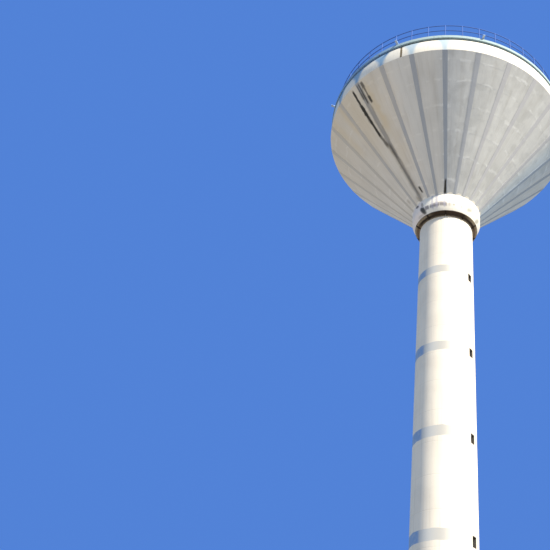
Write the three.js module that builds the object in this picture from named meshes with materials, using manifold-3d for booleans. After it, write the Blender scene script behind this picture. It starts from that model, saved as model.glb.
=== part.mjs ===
import * as THREE from "three";
import { mergeVertices } from "three/addons/utils/BufferGeometryUtils.js";
import Module from "manifold-3d";

// Inverted-cone water tower of painted reinforced concrete: a slender hollow shaft, a ribbed conical
// tank round its top, a shallow conical roof with a guard rail, and a ventilating lantern.
// Millimetres, +Z up. The origin is the centre of the shaft's base on the ground. The column of
// shaft windows and the door face +X. Angles are in degrees, anticlockwise from +X seen from above.

const wasm = await Module();
wasm.setup();

// Clearance left between two pieces that rest on or against each other
const SEAT = 0.3;

// Shaft
const SHAFT_RADIUS = 1200;
const SHAFT_WALL = 180;
const SHAFT_SIDES = 36;
const SHAFT_BORE = SHAFT_RADIUS - SHAFT_WALL;
const SHAFT_JOINTS = [0, 4700, 12200, 19700, 24600, 31900];
const SHAFT_NAMES = ["shaft_base", "shaft_lower", "shaft_middle", "shaft_upper", "shaft_head"];

// Small unglazed windows that light the climb, one above the other, and the floors below them
const WINDOW_HEIGHTS = [6600, 10350, 14100, 17800, 21580];
const WINDOW_WIDTH = 250;
const WINDOW_HEIGHT = 380;
const FLOOR_BELOW_WINDOW = 900;
const FLOOR_THICKNESS = 100;
const GROUND_FLOOR_THICKNESS = 150;
const HATCH_SIZE = 600;
const HATCH_CENTRE_X = -600;

// Door at the foot of the shaft
const DOORWAY_WIDTH = 800;
const DOORWAY_TOP = 2150;
const DOOR_FRAME_FACE = 50;
const DOOR_FRAME_DEPTH = 80;
const DOOR_FRAME_X = 1060;
const DOOR_LEAF_THICKNESS = 40;

// Tank: the collar, the cone with its ribs, and the upright rim
const TANK_SIDES = 72;
const RIBS = 24;
const BAY_ANGLE = 360 / RIBS;
const TANK_RADIUS = 5875;
const COLLAR_RADIUS = 1560;
const COLLAR_FOOT_RADIUS = 1410;
const COLLAR_BOTTOM = 24800;
const COLLAR_CHAMFER_TOP = 25130;
const COLLAR_TOP = 25690;
const RIM_BOTTOM = 30430;
const RIM_TOP = 31170;
const RIM_THICKNESS = 200;
const RIM_GROOVE_HEIGHT = 140;
const RIM_GROOVE_DEPTH = 45;
const CONE_THICKNESS = 150;
const CONE_PIECES = 8;
const RIB_WIDTH_BOTTOM = 95;
const RIB_WIDTH_TOP = 190;
const RIB_PROUD = 40;
const RIB_SUNK = 60;

// Steel ring on the shaft that carries the collar
const CARRIER_PLATE = 20;
const CARRIER_RADIUS = 1425;
const CARRIER_EDGE_BOTTOM = 24760;
const CARRIER_BOTTOM = 24640;
const CARRIER_SEGMENTS = 10;
const CARRIER_JOINT = 40;
const CARRIER_JOINT_START = 12;

// Roof slab, with a level verge under the guard rail and an upstand for the lantern
const ROOF_BOTTOM = RIM_TOP + RIM_GROOVE_HEIGHT;
const ROOF_EDGE_HEIGHT = 170;
const ROOF_OVERHANG = 30;
const ROOF_VERGE_WIDTH = 345;
const ROOF_RISE = 1000;
const ROOF_THICKNESS = 110;
const ROOF_INNER_RADIUS = 2150;
const ROOF_CROWN_RADIUS = 2450;
const ROOF_CROWN_DEPTH = 250;

// Lantern: five curved walls with three window openings each, under a conical cap
const LANTERN_RADIUS = 2360;
const LANTERN_WALL = 120;
const LANTERN_SIDES = 40;
const LANTERN_HEIGHT = 1350;
const LANTERN_BAYS = 5;
const LANTERN_WINDOW_PITCH = 18;
const LANTERN_WINDOW_WIDTH = 560;
const LANTERN_WINDOW_HEIGHT = 580;
const LANTERN_SILL = 500;
const CAP_RADIUS = 2800;
const CAP_RISE = 850;
const CAP_EDGE = 90;
const CAP_DRIP = 70;
const CAP_SEAT_MARGIN = 45;
const CAP_THICKNESS = 110;

// Guard rail on the verge
const RAIL_RADIUS = 5680;
const RAIL_BAR = 38;
const RAIL_HEIGHTS = [690, 1080];
const RAIL_POST = 46;
const RAIL_POSTS = 45;
const RAIL_PIECES = 5;
const RAIL_POST_START = 4;

// Floodlights that stand out over the roof's edge
const LAMP_ANGLES = [-131, -82, -43, 2, 50, 98, 140, 182];
const LAMP_ARM_LENGTH = 200;
const LAMP_ARM_SIZE = 30;
const LAMP_ARM_RISE = 12;
const LAMP_HEAD = [240, 120, 80];

// Worked-out levels
const ROOF_EDGE_TOP = ROOF_BOTTOM + ROOF_EDGE_HEIGHT;
const ROOF_RADIUS = TANK_RADIUS + ROOF_OVERHANG;
const ROOF_CROWN_TOP = ROOF_EDGE_TOP + ROOF_RISE;
const LANTERN_TOP = ROOF_CROWN_TOP + LANTERN_HEIGHT;
const CONE_RUN = TANK_RADIUS - COLLAR_RADIUS;
const CONE_RISE = RIM_BOTTOM - COLLAR_TOP;
const CONE_SLOPE = Math.atan2(CONE_RISE, CONE_RUN);

// A turned shape has its first corner on -Y
const FIRST_CORNER = 90;

const radians = THREE.MathUtils.degToRad;

function paint(color, roughness, metalness = 0) {
  return new THREE.MeshStandardMaterial({ color, roughness, metalness });
}

const finishes = {
  shaft: paint(0xece9e0, 0.75),
  tank: paint(0xb9b8b0, 0.8),
  rim: paint(0xf2f0e8, 0.75),
  roof: paint(0x9d9990, 0.9),
  concrete: paint(0x8f8c84, 0.95),
  rustySteel: paint(0x3b2a1c, 0.85, 0.4),
  railSteel: paint(0x39537e, 0.5, 0.3),
  door: paint(0x5c7f97, 0.55, 0.2),
  lamp: paint(0xd5dbe2, 0.4, 0.3),
};

// A closed solid from a three.js geometry
function solid(geometry) {
  geometry.deleteAttribute("normal");
  geometry.deleteAttribute("uv");
  const merged = mergeVertices(geometry);
  return new wasm.Manifold(new wasm.Mesh({
    numProp: 3,
    vertProperties: new Float32Array(merged.attributes.position.array),
    triVerts: new Uint32Array(merged.index.array),
  }));
}

// A named mesh from a closed solid
function piece(name, body, material) {
  const result = body.getMesh();
  const geometry = new THREE.BufferGeometry();
  geometry.setAttribute("position", new THREE.BufferAttribute(result.vertProperties, 3));
  geometry.setIndex(new THREE.BufferAttribute(result.triVerts, 1));
  const flat = geometry.toNonIndexed();
  flat.computeVertexNormals();
  const mesh = new THREE.Mesh(flat, material);
  mesh.name = name;
  return mesh;
}

// A profile of [radius, height] points, anticlockwise, turned about the Z axis
function turned(profile, sides) {
  const points = profile.map(([radius, height]) => new THREE.Vector2(radius, height));
  const geometry = new THREE.LatheGeometry(points, sides);
  geometry.rotateX(Math.PI / 2);
  return solid(geometry);
}

// A turned ring: its profile closes on itself
function ring(profile, sides) {
  return turned([...profile, profile[0]], sides);
}

function tube(outer, inner, bottom, top, sides) {
  return ring([[inner, bottom], [outer, bottom], [outer, top], [inner, top]], sides);
}

function disc(radius, bottom, top, sides) {
  return turned([[0, bottom], [radius, bottom], [radius, top], [0, top]], sides);
}

// A box from its size and centre, turned about the Z axis by an angle
function block(size, centre, angle = 0) {
  const geometry = new THREE.BoxGeometry(...size);
  geometry.translate(...centre);
  geometry.rotateZ(radians(angle));
  return solid(geometry);
}

// A slice of pie that holds everything between two angles, less the seat clearance at each face
function wedge(startAngle, endAngle, radius, bottom, top) {
  const middle = radians((startAngle + endAngle) / 2);
  const half = radians((endAngle - startAngle) / 2);
  const reach = radius / Math.cos(half) + SEAT;
  const shift = SEAT / 2 / Math.sin(half);
  const apex = [shift * Math.cos(middle), shift * Math.sin(middle)];
  const corner = (angle) => new THREE.Vector2(
    apex[0] + reach * Math.cos(angle),
    apex[1] + reach * Math.sin(angle),
  );
  const outline = new THREE.Shape([
    new THREE.Vector2(...apex),
    corner(middle - half),
    corner(middle + half),
  ]);
  const geometry = new THREE.ExtrudeGeometry(outline, { depth: top - bottom, bevelEnabled: false });
  geometry.translate(0, 0, bottom);
  return solid(geometry);
}

function union(bodies) {
  return bodies.reduce((whole, body) => whole.add(body));
}

// One length of the shaft, with the windows and the doorway that fall in it
function shaftLength(bottom, top) {
  let body = tube(SHAFT_RADIUS, SHAFT_BORE, bottom + SEAT * Math.sign(bottom), top, SHAFT_SIDES);
  for (const height of WINDOW_HEIGHTS) {
    if (height > bottom && height < top) {
      const size = [SHAFT_WALL * 2, WINDOW_WIDTH, WINDOW_HEIGHT];
      body = body.subtract(block(size, [SHAFT_RADIUS - SHAFT_WALL / 2, 0, height]));
    }
  }
  if (bottom === 0) {
    const height = DOORWAY_TOP - GROUND_FLOOR_THICKNESS;
    const size = [SHAFT_WALL * 3, DOORWAY_WIDTH, height];
    const centre = [SHAFT_RADIUS - SHAFT_WALL / 2, 0, GROUND_FLOOR_THICKNESS + height / 2];
    body = body.subtract(block(size, centre));
  }
  return body;
}

function shaft() {
  return SHAFT_NAMES.map((name, index) => {
    const body = shaftLength(SHAFT_JOINTS[index], SHAFT_JOINTS[index + 1]);
    return piece(name, body, finishes.shaft);
  });
}

// A thin floor below each window, with a hatch for the climb
function floors() {
  const radius = SHAFT_BORE - SEAT;
  const ground = disc(radius, 0, GROUND_FLOOR_THICKNESS, SHAFT_SIDES);
  const pieces = [piece("ground_floor", ground, finishes.concrete)];
  WINDOW_HEIGHTS.forEach((height, index) => {
    const top = height - FLOOR_BELOW_WINDOW;
    const slab = disc(radius, top - FLOOR_THICKNESS, top, SHAFT_SIDES);
    const hatch = block([HATCH_SIZE, HATCH_SIZE, FLOOR_THICKNESS * 2], [HATCH_CENTRE_X, 0, top]);
    pieces.push(piece(`landing_${index + 1}`, slab.subtract(hatch), finishes.concrete));
  });
  return pieces;
}

// A plain steel frame in the doorway, and the leaf shut in it
function door() {
  const bottom = GROUND_FLOOR_THICKNESS + SEAT;
  const top = DOORWAY_TOP - SEAT;
  const width = DOORWAY_WIDTH - 2 * SEAT;
  const height = top - bottom;
  const middle = (top + bottom) / 2;
  const outer = block([DOOR_FRAME_DEPTH, width, height], [DOOR_FRAME_X, 0, middle]);
  const holeWidth = width - 2 * DOOR_FRAME_FACE;
  const holeHeight = height - 2 * DOOR_FRAME_FACE;
  const hole = block([DOOR_FRAME_DEPTH * 2, holeWidth, holeHeight], [DOOR_FRAME_X, 0, middle]);
  const leafSize = [DOOR_LEAF_THICKNESS, holeWidth - 2 * SEAT, holeHeight - 2 * SEAT];
  return [
    piece("door_frame", outer.subtract(hole), finishes.door),
    piece("door_leaf", block(leafSize, [DOOR_FRAME_X, 0, middle]), finishes.door),
  ];
}

// The ring beam at the foot of the tank, with its outside splayed below
function collar() {
  return piece("tank_collar", ring([
    [SHAFT_RADIUS + SEAT, COLLAR_BOTTOM],
    [COLLAR_FOOT_RADIUS, COLLAR_BOTTOM],
    [COLLAR_RADIUS, COLLAR_CHAMFER_TOP],
    [COLLAR_RADIUS, COLLAR_TOP],
    [SHAFT_RADIUS + SEAT, COLLAR_TOP],
  ], SHAFT_SIDES), finishes.rim);
}

// The steel carrier: a flat ring under the collar, on haunched segments that grip the shaft
function carrier() {
  const inner = SHAFT_RADIUS + SEAT;
  const top = COLLAR_BOTTOM - SEAT;
  const plate = tube(CARRIER_RADIUS, inner, top - CARRIER_PLATE, top, SHAFT_SIDES);
  const edge = CARRIER_RADIUS - CARRIER_PLATE;
  const haunchTop = top - CARRIER_PLATE / 2;
  let haunch = ring([
    [inner, CARRIER_BOTTOM],
    [edge, CARRIER_EDGE_BOTTOM],
    [edge, haunchTop],
    [inner, haunchTop],
  ], SHAFT_SIDES);
  const size = [(edge - inner) * 2, CARRIER_JOINT, (haunchTop - CARRIER_BOTTOM) * 2];
  const centre = [(inner + edge) / 2, 0, (haunchTop + CARRIER_BOTTOM) / 2];
  for (let index = 0; index < CARRIER_SEGMENTS; index += 1) {
    const angle = CARRIER_JOINT_START + index * 360 / CARRIER_SEGMENTS;
    haunch = haunch.subtract(block(size, centre, angle));
  }
  return piece("carrier_ring", haunch.add(plate), finishes.rustySteel);
}

// One tapered rib that lies up the cone between two bays
function rib(angle) {
  const length = Math.hypot(CONE_RUN, CONE_RISE);
  const outline = new THREE.Shape([
    new THREE.Vector2(-RIB_WIDTH_BOTTOM / 2, 0),
    new THREE.Vector2(RIB_WIDTH_BOTTOM / 2, 0),
    new THREE.Vector2(RIB_WIDTH_TOP / 2, length),
    new THREE.Vector2(-RIB_WIDTH_TOP / 2, length),
  ]);
  const depth = RIB_SUNK + RIB_PROUD;
  const geometry = new THREE.ExtrudeGeometry(outline, { depth, bevelEnabled: false });
  geometry.translate(0, 0, -RIB_SUNK);
  const across = new THREE.Vector3(0, 1, 0);
  const upSlope = new THREE.Vector3(Math.cos(CONE_SLOPE), 0, Math.sin(CONE_SLOPE));
  const outward = new THREE.Vector3().crossVectors(across, upSlope);
  const frame = new THREE.Matrix4().makeBasis(across, upSlope, outward);
  frame.setPosition(COLLAR_RADIUS, 0, COLLAR_TOP);
  geometry.applyMatrix4(frame);
  geometry.rotateZ(radians(angle));
  return solid(geometry);
}

// The conical shell with its ribs, cut into pieces half a bay beside the ribs
function cone() {
  const inset = CONE_THICKNESS / Math.sin(CONE_SLOPE);
  const bottom = COLLAR_TOP + SEAT;
  const shell = ring([
    [COLLAR_RADIUS - inset, bottom],
    [COLLAR_RADIUS, bottom],
    [TANK_RADIUS, RIM_BOTTOM],
    [TANK_RADIUS - inset, RIM_BOTTOM],
  ], TANK_SIDES);
  const ribs = [];
  for (let index = 0; index < RIBS; index += 1) {
    ribs.push(rib(index * BAY_ANGLE));
  }
  const envelope = disc(TANK_RADIUS, bottom, RIM_BOTTOM, TANK_SIDES);
  const whole = union([shell, ...ribs]).intersect(envelope);
  const pieces = [];
  const angle = 360 / CONE_PIECES;
  for (let index = 0; index < CONE_PIECES; index += 1) {
    const start = index * angle - BAY_ANGLE / 2;
    const slice = wedge(start, start + angle, TANK_RADIUS, bottom, RIM_BOTTOM);
    pieces.push(piece(`tank_cone_${index + 1}`, whole.intersect(slice), finishes.tank));
  }
  return pieces;
}

// The upright wall of the tank, with a groove under the roof's edge
function rim() {
  const inner = TANK_RADIUS - RIM_THICKNESS;
  const grooved = TANK_RADIUS - RIM_GROOVE_DEPTH;
  return piece("tank_rim", ring([
    [inner, RIM_BOTTOM + SEAT],
    [TANK_RADIUS, RIM_BOTTOM + SEAT],
    [TANK_RADIUS, RIM_TOP],
    [grooved, RIM_TOP],
    [grooved, ROOF_BOTTOM],
    [inner, ROOF_BOTTOM],
  ], TANK_SIDES), finishes.rim);
}

function roof() {
  const seatRadius = TANK_RADIUS - RIM_THICKNESS;
  const crownBottom = ROOF_CROWN_TOP - ROOF_CROWN_DEPTH;
  return piece("roof_slab", ring([
    [seatRadius, ROOF_BOTTOM + SEAT],
    [ROOF_RADIUS, ROOF_BOTTOM + SEAT],
    [ROOF_RADIUS, ROOF_EDGE_TOP],
    [ROOF_RADIUS - ROOF_VERGE_WIDTH, ROOF_EDGE_TOP],
    [ROOF_CROWN_RADIUS, ROOF_CROWN_TOP],
    [ROOF_INNER_RADIUS, ROOF_CROWN_TOP],
    [ROOF_INNER_RADIUS, crownBottom],
    [ROOF_CROWN_RADIUS, crownBottom],
    [ROOF_CROWN_RADIUS, ROOF_CROWN_TOP - ROOF_THICKNESS],
    [seatRadius, ROOF_EDGE_TOP - ROOF_THICKNESS],
  ], TANK_SIDES), finishes.roof);
}

// The curved walls of the lantern: three openings, then half a solid pier at each end
function lanternWalls() {
  const bottom = ROOF_CROWN_TOP + SEAT;
  const inner = LANTERN_RADIUS - LANTERN_WALL;
  let wall = tube(LANTERN_RADIUS, inner, bottom, LANTERN_TOP, LANTERN_SIDES);
  const angle = 360 / LANTERN_BAYS;
  const size = [LANTERN_WALL * 3, LANTERN_WINDOW_WIDTH, LANTERN_WINDOW_HEIGHT];
  const height = ROOF_CROWN_TOP + LANTERN_SILL + LANTERN_WINDOW_HEIGHT / 2;
  const centre = [LANTERN_RADIUS - LANTERN_WALL / 2, 0, height];
  const pieces = [];
  for (let bay = 0; bay < LANTERN_BAYS; bay += 1) {
    for (const step of [-1, 0, 1]) {
      wall = wall.subtract(block(size, centre, bay * angle + step * LANTERN_WINDOW_PITCH));
    }
  }
  for (let bay = 0; bay < LANTERN_BAYS; bay += 1) {
    const middle = bay * angle;
    const slice = wedge(middle - angle / 2, middle + angle / 2, LANTERN_RADIUS, bottom, LANTERN_TOP);
    pieces.push(piece(`lantern_wall_${bay + 1}`, wall.intersect(slice), finishes.roof));
  }
  return pieces;
}

function lanternCap() {
  const seat = LANTERN_TOP + SEAT;
  const edgeBottom = LANTERN_TOP - CAP_DRIP;
  const edgeTop = edgeBottom + CAP_EDGE;
  const inner = LANTERN_RADIUS - LANTERN_WALL - CAP_SEAT_MARGIN;
  const innerTop = edgeTop + CAP_RISE * (1 - inner / CAP_RADIUS) - CAP_THICKNESS;
  return piece("lantern_cap", turned([
    [0, edgeTop + CAP_RISE - CAP_THICKNESS],
    [inner, innerTop],
    [inner, seat],
    [LANTERN_RADIUS + CAP_SEAT_MARGIN, seat],
    [CAP_RADIUS, edgeBottom],
    [CAP_RADIUS, edgeTop],
    [0, edgeTop + CAP_RISE],
  ], LANTERN_SIDES), finishes.roof);
}

// A square bar that runs straight from post to post, all the way round
function railBar(height) {
  const half = RAIL_BAR / 2;
  const bar = ring([
    [RAIL_RADIUS - half, height - half],
    [RAIL_RADIUS + half, height - half],
    [RAIL_RADIUS + half, height + half],
    [RAIL_RADIUS - half, height + half],
  ], RAIL_POSTS);
  return bar.rotate([0, 0, RAIL_POST_START + FIRST_CORNER]);
}

// The guard rail in equal lengths that meet half-way between two posts
function guardRail() {
  const base = ROOF_EDGE_TOP + SEAT;
  const pitch = 360 / RAIL_POSTS;
  const span = 360 / RAIL_PIECES;
  const top = base + RAIL_HEIGHTS[RAIL_HEIGHTS.length - 1] + RAIL_BAR / 2;
  const post = block([RAIL_POST, RAIL_POST, top - base], [RAIL_RADIUS, 0, (top + base) / 2]);
  const bars = union(RAIL_HEIGHTS.map((height) => railBar(base + height)));
  const pieces = [];
  for (let index = 0; index < RAIL_PIECES; index += 1) {
    const start = RAIL_POST_START - pitch / 2 + index * span;
    let length = bars.intersect(wedge(start, start + span, RAIL_RADIUS + RAIL_BAR, base, top));
    for (let angle = start + pitch / 2; angle < start + span; angle += pitch) {
      length = length.add(post.rotate([0, 0, angle]));
    }
    pieces.push(piece(`guard_rail_${index + 1}`, length, finishes.railSteel));
  }
  return pieces;
}

// A floodlight head on an arm that is bolted to the verge outside the rail
function lamp(angle) {
  const base = ROOF_EDGE_TOP + SEAT;
  const start = RAIL_RADIUS + RAIL_POST / 2 + LAMP_ARM_SIZE * 2;
  const arm = new THREE.BoxGeometry(LAMP_ARM_LENGTH, LAMP_ARM_SIZE, LAMP_ARM_SIZE);
  arm.translate(LAMP_ARM_LENGTH / 2, 0, 0);
  const head = new THREE.BoxGeometry(...LAMP_HEAD);
  head.translate(LAMP_ARM_LENGTH, 0, 0);
  const parts = [arm, head].map((geometry) => {
    geometry.rotateY(-radians(LAMP_ARM_RISE));
    geometry.translate(start, 0, base + LAMP_ARM_SIZE);
    geometry.rotateZ(radians(angle));
    return solid(geometry);
  });
  const footSize = [LAMP_ARM_SIZE * 2, LAMP_ARM_SIZE * 2, LAMP_ARM_SIZE];
  const foot = block(footSize, [start, 0, base + LAMP_ARM_SIZE / 2], angle);
  return union([foot, ...parts]);
}

function lamps() {
  return LAMP_ANGLES.map((angle, index) => piece(`rim_lamp_${index + 1}`, lamp(angle), finishes.lamp));
}

const tower = new THREE.Group();
tower.name = "water_tower";
tower.add(...shaft(), ...floors(), ...door());
tower.add(collar(), carrier(), ...cone(), rim());
tower.add(roof(), ...lanternWalls(), lanternCap());
tower.add(...guardRail(), ...lamps());

export default tower;
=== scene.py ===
"""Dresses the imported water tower: its painted concrete, stains, steelwork, and a plain studio.

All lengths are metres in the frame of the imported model: the origin is the centre of the shaft's
foot, Z is up, and the windows and the door face +X. Angles about Z are degrees from +X.
"""

import logging
import math
from collections.abc import Callable, Iterator, Sequence
from contextlib import contextmanager
from dataclasses import dataclass
from enum import Enum
from functools import partial, reduce

import bmesh
import bpy
from bpy.types import Material, Node, NodeSocket, Object, World
from mathutils import Matrix, Vector


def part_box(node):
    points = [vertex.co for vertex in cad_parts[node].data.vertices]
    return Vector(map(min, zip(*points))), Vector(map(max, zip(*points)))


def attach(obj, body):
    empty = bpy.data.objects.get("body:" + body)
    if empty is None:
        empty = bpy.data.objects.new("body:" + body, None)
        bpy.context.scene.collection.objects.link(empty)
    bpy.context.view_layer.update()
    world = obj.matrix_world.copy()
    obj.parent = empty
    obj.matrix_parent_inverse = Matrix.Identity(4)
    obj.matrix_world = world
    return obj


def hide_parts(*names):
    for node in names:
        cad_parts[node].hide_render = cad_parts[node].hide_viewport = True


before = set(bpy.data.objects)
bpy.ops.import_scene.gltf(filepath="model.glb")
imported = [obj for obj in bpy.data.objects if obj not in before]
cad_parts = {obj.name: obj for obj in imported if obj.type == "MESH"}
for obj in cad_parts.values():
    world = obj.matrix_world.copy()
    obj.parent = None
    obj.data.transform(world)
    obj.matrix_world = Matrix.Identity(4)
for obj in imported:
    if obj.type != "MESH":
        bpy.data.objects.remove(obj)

LOG = logging.getLogger("water_tower")
# The play between pieces that touch, and the reach within which a point counts as on a line
SEAT = 0.0003
NEAR = 0.001
# The least share of a face's normal that lies along the way it faces
FACING = 0.9
# The side that the sun stands over, in degrees from +X
SUNNY_SIDE = -11.0
UP = Vector((0.0, 0.0, 1.0))
BODY = "root"

Point = tuple[float, float]
Triple = tuple[float, float, float]
Colour = tuple[float, float, float, float]
Value = NodeSocket | float
Shade = NodeSocket | Colour


class Slot(Enum):
    """The record's material slots that the new pieces stand for."""

    SHAFT = "shaft_paint"
    DOOR = "door_paint"
    COLLAR = "collar_paint"
    STEEL = "rusty_steel"
    TANK = "tank_paint"
    RIM = "rim_paint"
    ROOF = "roof_concrete"
    LANTERN = "lantern_paint"
    RAIL = "rail_paint"
    LAMP = "lamp_metal"


class Joining(Enum):
    """What a boolean does with its second shape."""

    CUT = "DIFFERENCE"
    KEEP = "INTERSECT"


class Blend(Enum):
    """How a coat of colour lies on the one below."""

    COVER = "MIX"
    TINT = "MULTIPLY"


class Pick(Enum):
    """What is selected in edit mode."""

    POINTS = "VERT"
    EDGES = "EDGE"
    FACES = "FACE"


# Modelling


def clear_selection() -> None:
    """Leaves object mode with nothing selected."""
    if bpy.context.mode != "OBJECT":
        bpy.ops.object.mode_set(mode="OBJECT")
    bpy.ops.object.select_all(action="DESELECT")


def take_up(piece: Object) -> None:
    """Makes a piece the only selected and the active one.

    Args:
        piece: The piece to work on.
    """
    clear_selection()
    piece.select_set(True)
    bpy.context.view_layer.objects.active = piece


@contextmanager
def editing(piece: Object, of: Pick = Pick.FACES) -> Iterator[None]:
    """Holds a piece in edit mode, with nothing selected at the start.

    Args:
        piece: The mesh to edit.
        of: What is selected in it.

    Yields:
        Nothing, once the piece is in edit mode.
    """
    take_up(piece)
    bpy.ops.object.mode_set(mode="EDIT")
    bpy.ops.mesh.select_mode(type=of.value)
    bpy.ops.mesh.select_all(action="DESELECT")
    yield
    bpy.ops.object.mode_set(mode="OBJECT")


def pick(piece: Object, wanted: Callable[[Vector, Vector], bool], of: Pick = Pick.FACES) -> int:
    """Selects faces by their middle and normal, or edges by their two ends, in edit mode.

    Args:
        piece: The mesh in edit mode.
        wanted: Says from the two vectors whether a face or an edge is wanted.
        of: Whether faces or edges are picked.

    Returns:
        How many were selected.
    """
    bpy.ops.mesh.select_all(action="DESELECT")
    mesh = bmesh.from_edit_mesh(piece.data)
    if of is Pick.EDGES:
        chosen = [edge for edge in mesh.edges if wanted(edge.verts[0].co, edge.verts[1].co)]
    else:
        chosen = [face for face in mesh.faces if wanted(face.calc_center_median(), face.normal)]
    for part in chosen:
        part.select_set(True)
    bmesh.update_edit_mesh(piece.data)
    return len(chosen)


def settle(piece: Object, name: str) -> Object:
    """Names a new object and puts its place, turn and scale into its mesh.

    Args:
        piece: The object just added.
        name: Its name.

    Returns:
        The same object.
    """
    take_up(piece)
    bpy.ops.object.transform_apply(location=True, rotation=True, scale=True)
    piece.name = name
    return piece


def add_block(
    name: str, size: Sequence[float], centre: Sequence[float], arris: float = 0.0, lean: float = 0.0
) -> Object:
    """Adds a block, with its edges eased where an arris is given.

    Args:
        name: The object's name.
        size: Its lengths along X, Y and Z.
        centre: Its middle.
        arris: How wide its edges are eased.
        lean: Its turn about Y, in radians.

    Returns:
        The block.
    """
    clear_selection()
    bpy.ops.mesh.primitive_cube_add(
        size=1, location=tuple(centre), rotation=(0.0, lean, 0.0), scale=tuple(size)
    )
    block = settle(bpy.context.object, name)
    if arris:
        ease_edges(block, arris)
    return block


def block_in_place(name: str, node: str) -> Object:
    """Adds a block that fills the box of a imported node."""
    low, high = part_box(node)
    return add_block(name, high - low, (high + low) / 2)


def add_rod(name: str, radius: float, start: Vector, end: Vector, sides: int = 16) -> Object:
    """Adds a round rod with eased ends between two points.

    Args:
        name: The object's name.
        radius: Its radius.
        start: The middle of one end.
        end: The middle of the other end.
        sides: How many faces go round it.

    Returns:
        The rod.
    """
    clear_selection()
    along = end - start
    turn = UP.rotation_difference(along.normalized()).to_euler()
    bpy.ops.mesh.primitive_cylinder_add(
        vertices=sides, radius=radius, depth=along.length, location=(start + end) / 2, rotation=turn
    )
    rod = settle(bpy.context.object, name)
    ease_edges(rod, width=radius * 0.18)
    return rod


def turned(name: str, profile: Sequence[Point], steps: int) -> Object:
    """Spins a closed profile of (radius, height) points once about the Z axis.

    Args:
        name: The object's name.
        profile: The section's corners in order, without the first one again.
        steps: How many faces go round it.

    Returns:
        The closed turned shape.
    """
    clear_selection()
    radius, height = profile[0]
    bpy.ops.mesh.primitive_plane_add(size=0.01, location=(radius, 0, height))
    piece = settle(bpy.context.object, name)
    corners = [*profile, profile[0]]
    with editing(piece, Pick.POINTS):
        bpy.ops.mesh.select_all(action="SELECT")
        bpy.ops.mesh.merge(type="CENTER")
        for (r0, z0), (r1, z1) in zip(corners, corners[1:]):
            bpy.ops.mesh.extrude_region_move(TRANSFORM_OT_translate={"value": (r1 - r0, 0, z1 - z0)})
        bpy.ops.mesh.select_all(action="SELECT")
        bpy.ops.mesh.spin(steps=steps, angle=math.tau, center=(0, 0, 0), axis=(0, 0, 1))
        merge_and_face_out()
    return piece


def tube(name: str, radii: Point, heights: Point, steps: int) -> Object:
    """Turns an upright tube between an inner and an outer radius and between two heights."""
    (inner, outer), (low, high) = radii, heights
    return turned(name, [(inner, low), (outer, low), (outer, high), (inner, high)], steps)


def merge_and_face_out() -> None:
    """Merges doubled points and turns every face outwards, in edit mode."""
    bpy.ops.mesh.select_all(action="SELECT")
    bpy.ops.mesh.remove_doubles(threshold=1e-5)
    bpy.ops.mesh.normals_make_consistent(inside=False)


def slice_through(place: Sequence[float], normal: Sequence[float], **settings: bool) -> None:
    """Bisects the whole mesh in edit mode along a plane."""
    bpy.ops.mesh.select_all(action="SELECT")
    bpy.ops.mesh.bisect(plane_co=place, plane_no=normal, **settings)


def cut_rings(piece: Object, heights: Sequence[float]) -> None:
    """Slices a piece level at each height, which adds rings of edges.

    Args:
        piece: The mesh.
        heights: Where to cut.
    """
    with editing(piece):
        for height in heights:
            slice_through((0, 0, height), UP)


def trim_level(piece: Object, height: float, keep_above: bool) -> None:
    """Cuts a solid off level and closes the cut.

    Args:
        piece: The solid.
        height: Where to cut.
        keep_above: Whether the part above the cut is kept, rather than the part below.
    """
    with editing(piece):
        slice_through(
            (0, 0, height), UP, use_fill=True, clear_inner=keep_above, clear_outer=not keep_above
        )


def apply_modifier(piece: Object, kind: str, **settings: object) -> None:
    """Adds a modifier and applies it.

    Args:
        piece: The mesh.
        kind: Blender's name of the modifier.
        settings: The modifier's own settings.
    """
    take_up(piece)
    modifier = piece.modifiers.new("shaping", kind)
    for key, value in settings.items():
        setattr(modifier, key, value)
    bpy.ops.object.modifier_apply(modifier=modifier.name)


def combine(piece: Object, other: Object, joining: Joining) -> None:
    """Applies a boolean with a second shape to a piece and takes that shape away."""
    apply_modifier(piece, "BOOLEAN", object=other, operation=joining.value, solver="EXACT")
    bpy.data.objects.remove(other)


def ease_edges(piece: Object, width: float, segments: int = 2, sharper_than: float = 40.0) -> None:
    """Bevels the sharp edges of a piece.

    Args:
        piece: The mesh.
        width: The bevel's width.
        segments: Its steps.
        sharper_than: The least angle between two faces, in degrees.
    """
    apply_modifier(
        piece,
        "BEVEL",
        width=width,
        segments=segments,
        limit_method="ANGLE",
        angle_limit=math.radians(sharper_than),
        use_clamp_overlap=True,
    )


def hand_finish(piece: Object, height: float, grain: float) -> None:
    """Gives a face the slight unevenness of concrete cast between boards.

    Args:
        piece: The mesh.
        height: How far the surface wanders, in all.
        grain: The size of the unevenness.
    """
    texture = bpy.data.textures.new("unevenness", "CLOUDS")
    texture.noise_scale = grain
    apply_modifier(
        piece, "DISPLACE", texture=texture, strength=height, mid_level=0.5, texture_coords="LOCAL"
    )


def join(name: str, pieces: Sequence[Object]) -> Object:
    """Joins objects into the first one.

    Args:
        name: The name of the whole.
        pieces: What to join.

    Returns:
        The joined object.
    """
    take_up(pieces[0])
    for piece in pieces[1:]:
        piece.select_set(True)
    if len(pieces) > 1:
        bpy.ops.object.join()
    pieces[0].name = name
    return pieces[0]


def turned_copy(piece: Object, name: str, degrees: float) -> Object:
    """Copies a piece with its mesh and turns the copy about the Z axis.

    Args:
        piece: The piece to copy.
        name: The copy's name.
        degrees: How far the copy is turned.

    Returns:
        The copy.
    """
    take_up(piece)
    bpy.ops.object.duplicate()
    copy = bpy.context.object
    copy.rotation_euler.z = math.radians(degrees)
    return settle(copy, name)


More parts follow.
